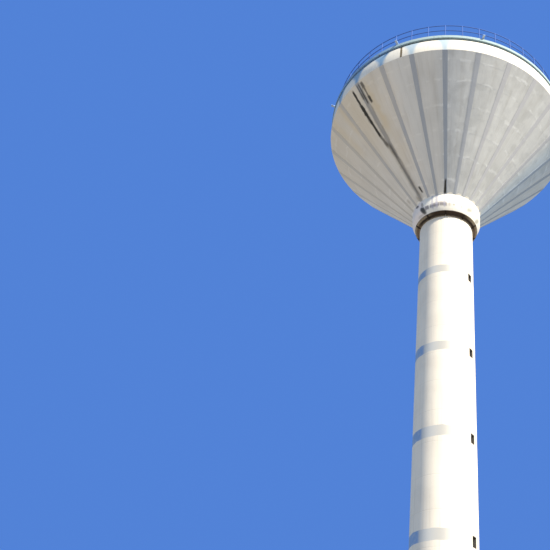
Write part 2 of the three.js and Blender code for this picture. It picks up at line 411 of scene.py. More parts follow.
def copied_round(piece: Object, angles: Sequence[float]) -> list[Object]:
    """Copies a piece to each of some angles round the Z axis and takes the first one away.

    Args:
        piece: The piece that faces +X.
        angles: Where its copies face, in degrees.

    Returns:
        The copies.
    """
    copies = [turned_copy(piece, piece.name, angle) for angle in angles]
    bpy.data.objects.remove(piece)
    return copies


def smooth(piece: Object, degrees: float = 30.0) -> None:
    """Shades a piece smooth, apart from edges sharper than an angle."""
    take_up(piece)
    bpy.ops.object.shade_smooth_by_angle(angle=math.radians(degrees))


def hand_over(piece: Object, finish: Material, slot: Slot, *nodes: str) -> None:
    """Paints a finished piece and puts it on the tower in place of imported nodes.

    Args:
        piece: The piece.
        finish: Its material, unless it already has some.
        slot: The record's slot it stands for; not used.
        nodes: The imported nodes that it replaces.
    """
    if not piece.data.materials:
        piece.data.materials.append(finish)
    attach(piece, BODY)
    if nodes:
        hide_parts(*nodes)
    LOG.info("%s: %d faces, for %s", piece.name, len(piece.data.polygons), ", ".join(nodes))


def numbered(stem: str, count: int) -> list[str]:
    """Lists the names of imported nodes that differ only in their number."""
    return [f"{stem}_{index + 1}" for index in range(count)]


# Finishes


class Graph:
    """The node tree of one material, with its colour and relief so far."""

    def __init__(self, name: str) -> None:
        """Starts a material with its shader and the piece's own coordinates.

        Args:
            name: The material's name.
        """
        self.material = bpy.data.materials.new(name)
        self.material.use_nodes = True
        self.tree = self.material.node_tree
        self.shader = self.tree.nodes["Principled BSDF"]
        self.place = self.add("ShaderNodeTexCoord").outputs["Object"]
        self.colour: Shade = (1.0, 1.0, 1.0, 1.0)
        self.relief: Value = 0.0

    def add(self, kind: str, **settings: object) -> Node:
        """Adds a node.

        Args:
            kind: Blender's name of the node.
            settings: The node's own settings.

        Returns:
            The node.
        """
        node = self.tree.nodes.new(kind)
        for key, value in settings.items():
            setattr(node, key, value)
        return node

    def feed(self, socket: NodeSocket, value: Value | Shade) -> None:
        """Links an input to another node's output, or sets its number or colour.

        Args:
            socket: The input.
            value: The output, number or colour.
        """
        if isinstance(value, NodeSocket):
            self.tree.links.new(value, socket)
        else:
            socket.default_value = value

    def math(self, operation: str, *values: Value) -> NodeSocket:
        """Does arithmetic on numbers.

        Args:
            operation: Blender's name of the operation.
            values: What it works on.

        Returns:
            The result.
        """
        node = self.add("ShaderNodeMath", operation=operation)
        for socket, value in zip(node.inputs, values):
            self.feed(socket, value)
        return node.outputs[0]

    def product(self, *values: Value) -> NodeSocket:
        """Multiplies two or more numbers."""
        return reduce(partial(self.math, "MULTIPLY"), values)

    def total(self, *values: Value) -> NodeSocket:
        """Adds two or more numbers."""
        return reduce(partial(self.math, "ADD"), values)

    def either(self, *values: Value) -> NodeSocket:
        """Gives the largest of two or more numbers."""
        return reduce(partial(self.math, "MAXIMUM"), values)

    def above(self, value: Value, floor: Value) -> NodeSocket:
        """Gives how far one number lies above another."""
        return self.math("SUBTRACT", value, floor)

    def stray(self, noise: NodeSocket, reach: float) -> NodeSocket:
        """Turns noise into a distance that strays to both sides of nothing."""
        return self.product(self.above(noise, 0.5), reach)

    def ease(self, value: Value, start: float, stop: float, top: float = 1.0) -> NodeSocket:
        """Rises smoothly from 0 at start to top at stop.

        Args:
            value: What is eased.
            start: Where the rise starts, which may lie above its stop.
            stop: Where it ends.
            top: How high it rises.

        Returns:
            The eased number.
        """
        node = self.add("ShaderNodeMapRange", interpolation_type="SMOOTHSTEP")
        for socket, number in zip(node.inputs, (value, start, stop, 0.0, top)):
            self.feed(socket, number)
        return node.outputs[0]

    def between(self, value: Value, low: float, high: float, soft: float) -> NodeSocket:
        """Is 1 between two limits, with soft ends of a given width."""
        rise = self.ease(value, low - soft / 2, low + soft / 2)
        return self.product(rise, self.ease(value, high + soft / 2, high - soft / 2))

    def mixed(self, amount: Value, base: Shade, other: Shade, blend: Blend = Blend.COVER) -> NodeSocket:
        """Mixes two colours.

        Args:
            amount: How much of the second shows, 0 to 1.
            base: The first colour.
            other: The second colour.
            blend: Whether the second covers or tints the first.

        Returns:
            The mixed colour.
        """
        node = self.add("ShaderNodeMix", data_type="RGBA", blend_type=blend.value, clamp_factor=True)
        self.feed(node.inputs["Factor"], amount)
        self.feed(node.inputs[6], base)
        self.feed(node.inputs[7], other)
        return node.outputs[2]

    def coat(self, mask: Value, shade: Shade, blend: Blend = Blend.COVER) -> None:
        """Lays a coat over the colour so far, as far as a mask says."""
        self.colour = self.mixed(mask, self.colour, shade, blend)

    def noise(self, scale: float, detail: float, where: NodeSocket | None = None) -> NodeSocket:
        """Adds cloudy noise between 0 and 1.

        Args:
            scale: Its blotches in a metre.
            detail: How many finer layers lie over it.
            where: The coordinates, which are the piece's own if left out.

        Returns:
            The noise.
        """
        node = self.add("ShaderNodeTexNoise")
        self.feed(node.inputs["Vector"], where or self.place)
        self.feed(node.inputs["Scale"], scale)
        self.feed(node.inputs["Detail"], detail)
        return node.outputs["Fac"]

    def finish(self, rough: Value, depth: float) -> Material:
        """Wires the colour and the relief so far to the shader.

        Args:
            rough: The roughness.
            depth: How deep the relief is.

        Returns:
            The material.
        """
        bump = self.add("ShaderNodeBump")
        self.feed(bump.inputs["Distance"], depth)
        self.feed(bump.inputs["Height"], self.relief)
        for name, value in (("Base Color", self.colour), ("Roughness", rough), ("Normal", bump.outputs[0])):
            self.feed(self.shader.inputs[name], value)
        return self.material


class RoundGraph(Graph):
    """A node tree that also knows where a point lies round the tower's axis."""

    def __init__(self, name: str) -> None:
        """Starts the material and reads the angle from +X in degrees, the radius and the height.

        Args:
            name: The material's name.
        """
        super().__init__(name)
        parts = self.add("ShaderNodeSeparateXYZ")
        self.feed(parts.inputs[0], self.place)
        x, y, self.height = parts.outputs
        self.along = self.height
        self.angle = self.product(self.math("ARCTAN2", y, x), 180 / math.pi)
        self.radius = self.math("SQRT", self.total(self.product(x, x), self.product(y, y)))

    def off_angle(self, middle: Value) -> NodeSocket:
        """Gives how far the point's angle lies from another, 0 to 180 degrees."""
        turn = self.math("WRAP", self.above(self.angle, middle), 180.0, -180.0)
        return self.math("ABSOLUTE", turn)

    def off_nearest(self, count: int, first: float = 0.0) -> NodeSocket:
        """Gives the degrees to the nearest of some even places round the axis."""
        return self.math("PINGPONG", self.above(self.angle, first), 180 / count)

    def arc(self, turn: Value) -> NodeSocket:
        """Turns degrees into a length round the axis at the point's own radius."""
        return self.product(turn, math.pi / 180, self.radius)


class SlopeGraph(RoundGraph):
    """The node tree of the cone's paint, whose patterns run along the way up the slope, 0 to 1."""

    def __init__(self, name: str, bottom: float, top: float) -> None:
        """Starts the material and works the way up out of the height.

        Args:
            name: The material's name.
            bottom: The height where the slope starts.
            top: The height where it ends.
        """
        super().__init__(name)
        self.along = self.math("DIVIDE", self.above(self.height, bottom), top - bottom)
        self.wander = self.noise(2.6, 4.0)


@dataclass(frozen=True)
class Clouds:
    """A mask of cloudy noise, whose rise from 0 to its top starts and stops at two values."""

    scale: float
    detail: float
    start: float
    stop: float
    top: float = 1.0

    def mask(self, graph: Graph, where: NodeSocket | None = None) -> NodeSocket:
        """Wires the mask, at the piece's own coordinates or at others."""
        return graph.ease(graph.noise(self.scale, self.detail, where), self.start, self.stop, self.top)


@dataclass(frozen=True)
class Runs:
    """A mask of noise drawn out into upright runs, so many degrees wide and so long, as rain leaves."""

    width: float
    length: float
    start: float
    stop: float
    top: float = 1.0

    def mask(self, graph: RoundGraph, along: Value | None = None) -> NodeSocket:
        """Wires the mask.

        Args:
            graph: The material.
            along: What the runs follow, which is the graph's own way up if left out.

        Returns:
            The mask.
        """
        place = graph.add("ShaderNodeCombineXYZ")
        graph.feed(place.inputs[0], graph.math("DIVIDE", graph.angle, self.width))
        graph.feed(place.inputs[1], graph.math("DIVIDE", along or graph.along, self.length))
        return graph.ease(graph.noise(1.0, 3.0, place.outputs[0]), self.start, self.stop, self.top)


@dataclass(frozen=True)
class Side:
    """A mask by side, whose rise starts and stops so many degrees off a middle angle."""

    middle: float
    start: float
    stop: float
    top: float = 1.0

    def mask(self, graph: RoundGraph) -> NodeSocket:
        """Wires the mask."""
        return graph.ease(graph.off_angle(self.middle), self.start, self.stop, self.top)


@dataclass(frozen=True)
class Plaster:
    """What every painted or bare concrete face shares: a cloudy tone and fine pits."""

    tone: Colour
    shadow: Colour
    patch: float = 0.9
    pits: float = 45.0
    patch_shadow: Triple = (0.38, 0.72, 0.7)
    pit_shadow: Triple = (0.5, 0.8, 0.25)
    patch_relief: float = 0.5

    def lay(self, graph: Graph) -> None:
        """Starts a material's colour and relief with the plain face.

        Args:
            graph: The material.
        """
        clouds = graph.noise(self.patch, 5.0)
        fine = graph.noise(self.pits, 2.0)
        shaded = graph.total(graph.ease(clouds, *self.patch_shadow), graph.ease(fine, *self.pit_shadow))
        graph.colour = graph.mixed(shaded, self.tone, self.shadow)
        pitted = graph.product(fine, 1 - self.patch_relief)
        graph.relief = graph.total(graph.product(clouds, self.patch_relief), pitted)


@dataclass(frozen=True)
class ShaftPaint:
    """White paint on slip-formed concrete, with hand-painted blue bands and rain marks."""

    bands: Sequence[Point]
    sills: Sequence[float]
    reveal: Point
    white: Colour = (0.83, 0.80, 0.745, 1.0)
    grey: Colour = (0.73, 0.70, 0.655, 1.0)
    blue: Colour = (0.19, 0.35, 0.67, 1.0)
    # Painted light: pale grey blues for the bands on the sunlit side, where the sun washes them out
    worn_and_sunlit: Colour = (0.60, 0.635, 0.675, 1.0)
    sunlit_grey: Colour = (0.47, 0.485, 0.50, 1.0)
    grime: Colour = (0.36, 0.33, 0.29, 1.0)
    # Painted shade: the colour of the shaded window reveals
    shade: Colour = (0.10, 0.095, 0.09, 1.0)
    rain: Runs = Runs(4.0, 3.2, 0.52, 0.85, 0.30)
    sill_dirt: Runs = Runs(1.3, 1.6, 0.40, 0.62)
    below_window: Side = Side(0.0, 7.5, 3.5)
    tail: float = 0.9
    tail_over: float = 0.02
    tail_edge: float = 0.04
    tail_run_out: float = 0.05
    tail_strength: float = 0.5
    worn: Clouds = Clouds(7.0, 5.0, 0.42, 0.66, 0.22)
    # Painted light: the bands turn pale and thin past the shade's edge, on the sunlit side
    lit_side: Side = Side(SUNNY_SIDE, 97.0, 89.0)
    sunlit_grey_side: Side = Side(SUNNY_SIDE, 80.0, 52.0)
    shaded_side_cover: Side = Side(SUNNY_SIDE, 28.0, 50.0, 0.60)
    least_cover: float = 0.34
    band_edge: float = 0.025
    band_wobble: float = 0.10
    lift: float = 1.25
    seam: float = 0.02
    seam_grime: float = 0.10
    seam_relief: float = 0.6
    reveal_edge: float = 0.004
    above_door: Point = (4.9, 5.0)

    def material(self) -> Material:
        """Makes the material.

        Returns:
            The material.
        """
        graph = RoundGraph("shaft_paint")
        Plaster(self.white, self.grey).lay(graph)
        graph.coat(self.rain.mask(graph), self.grime)
        self.paint_bands(graph)
        self.dirty_sills(graph)
        seam = graph.ease(graph.math("PINGPONG", graph.height, self.lift / 2), 0.0, self.seam)
        graph.coat(graph.product(graph.above(1.0, seam), self.seam_grime), self.grime)
        graph.relief = graph.total(graph.relief, graph.product(seam, self.seam_relief))
        # Painted shade: the window reveals above the door are painted as deep shade
        in_shaded_reveal = graph.between(graph.radius, *self.reveal, self.reveal_edge)
        upstairs = graph.ease(graph.height, *self.above_door)
        graph.coat(graph.product(in_shaded_reveal, upstairs), self.shade)
        return graph.finish(rough=0.68, depth=0.004)

    def paint_bands(self, graph: RoundGraph) -> None:
        """Wires the blue bands: painted light makes them deep blue in shade, and thin and pale grey on the
        sunlit side; worn patches are pale too.

        Args:
            graph: The material.
        """
        level = graph.total(graph.height, graph.stray(graph.noise(scale=2.2, detail=3.0), self.band_wobble))
        band = graph.either(*(graph.between(level, *limits, self.band_edge) for limits in self.bands))
        # Painted light: the bands are pale on the sunlit side, and in worn patches
        worn_and_sunlit = graph.either(self.worn.mask(graph), self.lit_side.mask(graph))
        tint = graph.mixed(worn_and_sunlit, self.blue, self.worn_and_sunlit)
        tint = graph.mixed(self.sunlit_grey_side.mask(graph), tint, self.sunlit_grey)
        cover = graph.total(self.shaded_side_cover.mask(graph), self.least_cover)
        graph.coat(graph.product(band, cover), tint)

    def dirty_sills(self, graph: RoundGraph) -> None:
        """Wires the dirty runs below each window's sill.

        Args:
            graph: The material.
        """
        tails = []
        for sill in self.sills:
            foot = sill - self.tail
            below = graph.between(graph.height, foot, sill + self.tail_over, self.tail_edge)
            fading = graph.ease(graph.height, foot - self.tail_run_out, sill, self.tail_strength)
            tails.append(graph.product(below, fading))
        beside = self.below_window.mask(graph)
        graph.coat(graph.product(beside, graph.either(*tails), self.sill_dirt.mask(graph)), self.grime)


@dataclass(frozen=True)
class Streak:
    """A run of dirt up the cone's slope, between two places given as (way up, degrees)."""

    foot: Point
    head: Point
    width: float
    strength: float
    soft: float = 0.03
    fade: float = 0.05
    stray: float = 0.9

    def mask(self, graph: SlopeGraph) -> NodeSocket:
        """Wires where the run lies, straying a little to both sides.

        Args:
            graph: The material.

        Returns:
            How strong the run is, 0 to 1.
        """
        lean = (self.head[1] - self.foot[1]) / (self.head[0] - self.foot[0])
        course = graph.math("MULTIPLY_ADD", graph.along, lean, self.foot[1] - lean * self.foot[0])
        stray = graph.stray(graph.wander, self.width * self.stray)
        offset = graph.total(graph.arc(graph.off_angle(course)), stray)
        half = self.width / 2
        across = graph.ease(offset, half + self.soft, max(half - self.soft, 0.0))
        along = graph.between(graph.along, self.foot[0], self.head[0], self.fade)
        return graph.product(across, along, self.strength)


@dataclass(frozen=True)
class ConePaint:
    """Weathered white paint on the tank's cone, blue-grey ribs, and the runs of a leaking rim."""

    bottom: float
    top: float
    bays: int
    rib_foot: float
    rib_head: float
    lifts: Sequence[float]
    white: Colour = (0.77, 0.765, 0.75, 1.0)
    grey: Colour = (0.66, 0.655, 0.64, 1.0)
    washed: Colour = (0.80, 0.80, 0.79, 1.0)
    # Painted shade: grey patches on the sunlit side, for the grazing sun's uneven light
    grazing_shade: Colour = (0.50, 0.50, 0.49, 1.0)
    tan: Colour = (0.70, 0.61, 0.455, 1.0)
    soot: Colour = (0.018, 0.016, 0.012, 1.0)
    rib: Colour = (0.405, 0.44, 0.505, 1.0)
    rib_worn: Colour = (0.53, 0.55, 0.58, 1.0)
    rib_sunlit_tone: Colour = (0.68, 0.665, 0.68, 1.0)
    rib_damp: Colour = (0.60, 0.575, 0.52, 1.0)
    grime: Colour = (0.28, 0.25, 0.20, 1.0)
    # Chalky lift lines and mends, which also stand for painted highlights on the sunlit side
    chalk_and_highlight: Colour = (0.93, 0.92, 0.90, 1.0)
    lap: Colour = (0.82, 0.815, 0.79, 1.0)
    # Painted light: tints that cool and dim the sunlit side and turn the far side blue as in shade
    painted_light_tints: Sequence[tuple[Side, Colour]] = (
        (Side(SUNNY_SIDE, 80.0, 68.0), (0.905, 0.93, 0.955, 1.0)),
        (Side(SUNNY_SIDE, 57.0, 47.0), (0.885, 0.93, 0.99, 1.0)),
        (Side(70.0, 57.0, 45.0), (0.84, 0.94, 1.03, 1.0)),
    )
    # Painted light: the sunlit side, where the grazing sun's highlights and patchy shade are painted
    sunlit_side: Side = Side(SUNNY_SIDE, 57.0, 47.0)
    rib_sunlit_side: Side = Side(SUNNY_SIDE, 44.0, 22.0, 0.85)
    rib_damp_side: Side = Side(160.0, 98.0, 62.0, 0.85)
    tan_side: Side = Side(-142.0, 58.0, 22.0)
    broad_rain: Runs = Runs(3.5, 0.55, 0.45, 0.80, 0.22)
    fine_rain: Runs = Runs(1.1, 0.35, 0.50, 0.80, 0.14)
    washed_runs: Runs = Runs(1.7, 0.50, 0.55, 0.75, 0.25)
    mends: Runs = Runs(3.2, 0.11, 0.50, 0.66, 0.26)
    rib_wear: Runs = Runs(0.8, 0.12, 0.42, 0.72, 0.45)
    grime_gaps: Runs = Runs(0.9, 0.12, 0.20, 0.45)
    chalk_gaps: Clouds = Clouds(1.7, 4.0, 0.47, 0.57)
    grazing_shade_patches: Clouds = Clouds(1.6, 5.0, 0.50, 0.64, 0.30)
    grazing_shade_offset: Triple = (17.0, -9.0, 5.0)
    line_wobble: float = 0.055
    line_half: float = 0.008
    rib_margin: float = 0.002
    rib_edge: float = 0.006
    rib_unevenness: float = 0.018
    lap_height: float = 0.014
    lap_from_rib: Point = (1.5, 6.0)
    lap_edge: float = 0.001
    lump_scale: float = 1.9
    lump_relief: float = 0.75
    tan_rise: Triple = (0.1, 1.0, 0.32)
    tan_least: float = 0.12
    line_sunny: float = 0.50
    line_shaded: float = 0.30
    rib_cover: float = 0.96
    soot_runs: Sequence[Streak] = (
        Streak((0.78, -109.5), (0.975, -109.3), 0.12, 0.98, 0.03, 0.03),
        Streak((0.72, -109.3), (0.86, -109.6), 0.18, 0.98, 0.03, 0.06),
        Streak((0.56, -108.9), (0.80, -109.4), 0.12, 0.97, 0.03, 0.04),
        Streak((0.47, -107.6), (0.59, -108.9), 0.15, 0.75, 0.05, 0.05),
        Streak((0.05, -103.9), (0.46, -106.6), 0.07, 0.34, 0.05, 0.08),
        Streak((0.82, -104.7), (0.985, -104.5), 0.06, 0.85, 0.05, 0.03),
        Streak((0.86, -105.6), (0.985, -105.6), 0.06, 0.70, 0.05, 0.03),
        Streak((0.935, -102.6), (0.985, -102.8), 0.17, 0.78, 0.04, 0.02),
        Streak((0.83, -102.5), (0.955, -102.6), 0.09, 0.72, 0.03, 0.02),
        Streak((0.81, -102.3), (0.87, -102.5), 0.13, 0.90, 0.03, 0.02),
        Streak((0.35, -105.2), (0.49, -105.6), 0.13, 0.62, 0.06, 0.07),
        Streak((0.050, -96.6), (0.100, -98.2), 0.075, 0.95, 0.03, 0.02),
        Streak((0.0, -61.2), (0.10, -60.3), 0.10, 0.97, 0.02, 0.03),
    )
    grime_runs: Sequence[Streak] = (
        Streak((0.02, -104.2), (0.50, -106.0), 0.22, 0.60, 0.08, 0.08),
        Streak((0.40, -105.1), (0.93, -105.0), 0.25, 0.50, 0.04, 0.08),
        Streak((0.055, -127.5), (0.09, -127.5), 0.12, 0.35, 0.05, 0.03),
        Streak((0.0, -107.0), (0.05, -106.0), 0.30, 0.60, 0.10, 0.04),
    )
    tan_runs: Sequence[Streak] = (
        Streak((0.55, -100.4), (0.97, -101.6), 0.34, 0.85, 0.22, 0.18),
        Streak((0.25, -99.5), (0.99, -98.5), 0.80, 0.36, 0.40, 0.25),
        Streak((0.55, -92.0), (1.02, -91.0), 0.60, 0.22, 0.45, 0.30),
        Streak((0.50, -115.0), (1.02, -114.0), 0.80, 0.40, 0.50, 0.40),
        Streak((0.70, -121.5), (1.02, -122.0), 0.22, 0.55, 0.20, 0.16),
        Streak((0.62, -131.0), (1.02, -132.0), 0.30, 0.50, 0.25, 0.20),
    )

    def material(self) -> Material:
        """Makes the material.

        Returns:
            The material.
        """
        graph = SlopeGraph("tank_paint", self.bottom, self.top)
        Plaster(self.white, self.grey, 0.7).lay(graph)
        lumps = graph.noise(self.lump_scale, 4.0)
        plain = graph.product(graph.relief, 1 - self.lump_relief)
        graph.relief = graph.total(plain, graph.product(lumps, self.lump_relief))
        self.mark_by_rain(graph)
        self.chalk_lift_lines(graph)
        self.paint_ribs(graph)
        # Painted light: the sunlit side is tinted cooler and dimmer, and the far side bluer as in shade
        for side, tint in self.painted_light_tints:
            graph.coat(side.mask(graph), tint, Blend.TINT)
        self.run_dirt_down(graph)
        self.lap_collar_paint(graph)
        return graph.finish(rough=0.74, depth=0.016)

    def mark_by_rain(self, graph: SlopeGraph) -> None:
        """Wires the faint runs all round and the tan tint of the shaded side.

        Args:
            graph: The material.
        """
        graph.coat(graph.total(self.broad_rain.mask(graph), self.fine_rain.mask(graph)), self.grime)
        graph.coat(self.washed_runs.mask(graph), self.washed)
        near_rim = graph.total(graph.ease(graph.along, *self.tan_rise), self.tan_least)
        graph.coat(graph.product(self.tan_side.mask(graph), near_rim), self.tan)

    def chalk_lift_lines(self, graph: SlopeGraph) -> None:
        """Wires the chalky level lines where one lift met the next, with painted highlights of the grazing
        sun: the lines show more on the sunlit side, and only there show the pale mends between and grey
        patches of painted shade.

        Args:
            graph: The material.
        """
        half = self.line_half
        level = graph.total(graph.along, graph.stray(graph.wander, self.line_wobble))
        lines = graph.either(*(graph.between(level, at - half, at + half, half * 2) for at in self.lifts))
        sunlit_side = self.sunlit_side.mask(graph)
        shown = graph.math("MULTIPLY_ADD", sunlit_side, self.line_sunny, self.line_shaded)
        graph.coat(graph.product(lines, self.chalk_gaps.mask(graph), shown), self.chalk_and_highlight)
        # Painted light: pale mends and grey patches only on the sunlit side
        graph.coat(graph.product(self.mends.mask(graph), sunlit_side), self.chalk_and_highlight)
        moved = graph.add("ShaderNodeVectorMath", operation="ADD")
        graph.feed(moved.inputs[0], graph.place)
        graph.feed(moved.inputs[1], self.grazing_shade_offset)
        graph.coat(graph.product(self.grazing_shade_patches.mask(graph, moved.outputs[0]), sunlit_side), self.grazing_shade)

    def paint_ribs(self, graph: SlopeGraph) -> None:
        """Wires the ribs' blue-grey paint, paler towards the sunlit side and where the damp stained it.

        Args:
            graph: The material.
        """
        beside = graph.arc(graph.off_nearest(self.bays))
        uneven = graph.stray(graph.noise(scale=9.0, detail=3.0), self.rib_unevenness)
        growth = (self.rib_head - self.rib_foot) / 2
        half = graph.math("MULTIPLY_ADD", graph.along, growth, self.rib_foot / 2 + self.rib_margin)
        inside = graph.above(half, graph.total(beside, uneven))
        tint = graph.mixed(self.rib_wear.mask(graph), self.rib, self.rib_worn)
        tint = graph.mixed(self.rib_sunlit_side.mask(graph), tint, self.rib_sunlit_tone)
        tint = graph.mixed(self.rib_damp_side.mask(graph), tint, self.rib_damp)
        graph.coat(graph.ease(inside, -self.rib_edge, self.rib_edge, self.rib_cover), tint)

    def run_dirt_down(self, graph: SlopeGraph) -> None:
        """Wires the tan haze, the grime and the soot, one over the other.

        Args:
            graph: The material.
        """
        for streaks, shade, solid in (
            (self.tan_runs, self.tan, 1.0),
            (self.grime_runs, self.grime, self.grime_gaps.mask(graph)),
            (self.soot_runs, self.soot, 1.0),
        ):
            mask = graph.either(*(streak.mask(graph) for streak in streaks))
            graph.coat(graph.product(mask, solid), shade)

    def lap_collar_paint(self, graph: SlopeGraph) -> None:
        """Wires the collar's white paint that laps up each bay between the ribs."""
        reach = graph.ease(graph.off_nearest(self.bays), *self.lap_from_rib, self.lap_height)
        graph.coat(graph.ease(graph.above(reach, graph.along), -self.lap_edge, self.lap_edge), self.lap)


@dataclass(frozen=True)
class RimPaint:
    """White paint on the tank's wall, pale blue over the ribs' heads, and one line of rust."""

    bottom: float
    top: float
    bays: int
    rib_head: float
    white: Colour = (0.83, 0.825, 0.795, 1.0)
    grey: Colour = (0.70, 0.70, 0.68, 1.0)
    grime: Colour = (0.40, 0.38, 0.34, 1.0)
    # Painted light: the flares' blue as painted in shade; the paler blue below is the same paint in sun
    deep: Colour = (0.20, 0.38, 0.63, 1.0)
    pale: Colour = (0.39, 0.53, 0.68, 1.0)
    rust: Colour = (0.13, 0.10, 0.05, 1.0)
    soot: Colour = (0.02, 0.018, 0.015, 1.0)
    # Grime and painted shade in the groove under the roof's edge, with copies bluer in shade and greyer in
    # sun
    groove: Colour = (0.045, 0.075, 0.075, 1.0)
    groove_shaded_blue: Colour = (0.05, 0.135, 0.29, 1.0)
    groove_sunlit_grey: Colour = (0.15, 0.19, 0.19, 1.0)
    rain: Runs = Runs(0.7, 0.5, 0.50, 0.80, 0.30)
    flare_side: Side = Side(-105.0, 54.0, 44.0, 0.92)
    # Painted shade: where the shaded blue lies thinly over the far side of the wall
    far_side_blue: Side = Side(-152.0, 34.0, 18.0, 0.55)
    groove_shaded_side: Side = Side(-105.0, 32.0, 16.0)
    groove_sunlit_side: Side = Side(SUNNY_SIDE, 70.0, 50.0)
    shaded_from: Point = (-77.0, -86.0)
    rust_angle: float = -79.9
    rust_wander: float = 0.05
    rust_edge: Triple = (0.095, 0.055, 0.97)
    blot_edge: Point = (0.17, 0.05)
    blot_rise: Triple = (0.62, 0.80, 0.95)
    flare_pale: float = 0.255
    flare_deep: float = 0.068
    flare_foot: float = 0.42
    flare_stray: float = 0.10
    flare_edge: Point = (-0.14, 0.11)
    groove_edge: float = 0.01

    def material(self) -> Material:
        """Makes the material.

        Returns:
            The material.
        """
        graph = RoundGraph("rim_paint")
        Plaster(self.white, self.grey, 1.3).lay(graph)
        graph.coat(self.rain.mask(graph), self.grime)
        above = graph.above(graph.height, self.bottom)
        # Painted light: the flares turn from pale blue in sun to deeper blue in shade, and the far side of
        # the wall gets the shaded blue thinly
        deep = graph.ease(graph.angle, *self.shaded_from)
        graph.coat(self.flares(graph, above, deep), graph.mixed(deep, self.pale, self.deep))
        beside = graph.arc(graph.off_angle(self.rust_angle))
        wander = graph.product(graph.noise(scale=6.0, detail=3.0), self.rust_wander)
        graph.coat(graph.ease(graph.total(beside, wander), *self.rust_edge), self.rust)
        blot = graph.product(graph.ease(beside, *self.blot_edge), graph.ease(above, *self.blot_rise))
        graph.coat(blot, self.soot)
        # Grime and painted shade: the groove is painted deep grey-green, bluer on the side in shade and
        # greyer on the sunlit side
        groove = graph.mixed(self.groove_sunlit_side.mask(graph), self.groove, self.groove_sunlit_grey)
        groove = graph.mixed(self.groove_shaded_side.mask(graph), groove, self.groove_shaded_blue)
        limits = (self.top - self.groove_edge, self.top + self.groove_edge)
        graph.coat(graph.ease(graph.height, *limits), groove)
        return graph.finish(rough=0.66, depth=0.003)

    def flares(self, graph: RoundGraph, above: NodeSocket, deep: NodeSocket) -> NodeSocket:
        """Wires the blue over the ribs' heads, which widens upwards.

        Args:
            graph: The material.
            above: The height over the wall's foot.
            deep: How much of the painted shaded copy of the blue lies there, 0 to 1.

        Returns:
            How blue the wall is, 0 to 1.
        """
        share = graph.math("DIVIDE", above, self.top - self.bottom)
        wide = graph.math("MULTIPLY_ADD", deep, self.flare_deep, self.flare_pale)
        half = graph.total(graph.product(share, share, wide), self.rib_head * self.flare_foot)
        ragged = graph.stray(graph.noise(scale=3.0, detail=4.0), self.flare_stray)
        beside = graph.arc(graph.off_nearest(self.bays))
        inside = graph.above(half, graph.total(beside, ragged))
        flare = graph.product(graph.ease(inside, *self.flare_edge), self.flare_side.mask(graph))
        return graph.either(flare, self.far_side_blue.mask(graph))


@dataclass(frozen=True)
class Blot:
    """A soft slanting stain on the collar: its place as (degrees, height) and its size likewise."""

    place: Point
    size: Point
    lean: float
    strength: float
    ragged: float = 0.7
    edge: Point = (1.8, 0.2)

    def mask(self, graph: RoundGraph, height: NodeSocket) -> NodeSocket:
        """Wires where the stain lies.

        Args:
            graph: The material.
            height: The height over the collar's foot.

        Returns:
            How strong the stain is, 0 to 1.
        """
        above = graph.above(height, self.place[1])
        course = graph.math("MULTIPLY_ADD", above, self.lean, self.place[0])
        across = graph.math("DIVIDE", graph.off_angle(course), self.size[0])
        along = graph.math("DIVIDE", above, self.size[1])
        ragged = graph.stray(graph.noise(scale=6.0, detail=3.0), self.ragged)
        squares = graph.total(graph.product(across, across), graph.product(along, along), ragged)
        return graph.ease(squares, *self.edge, self.strength)


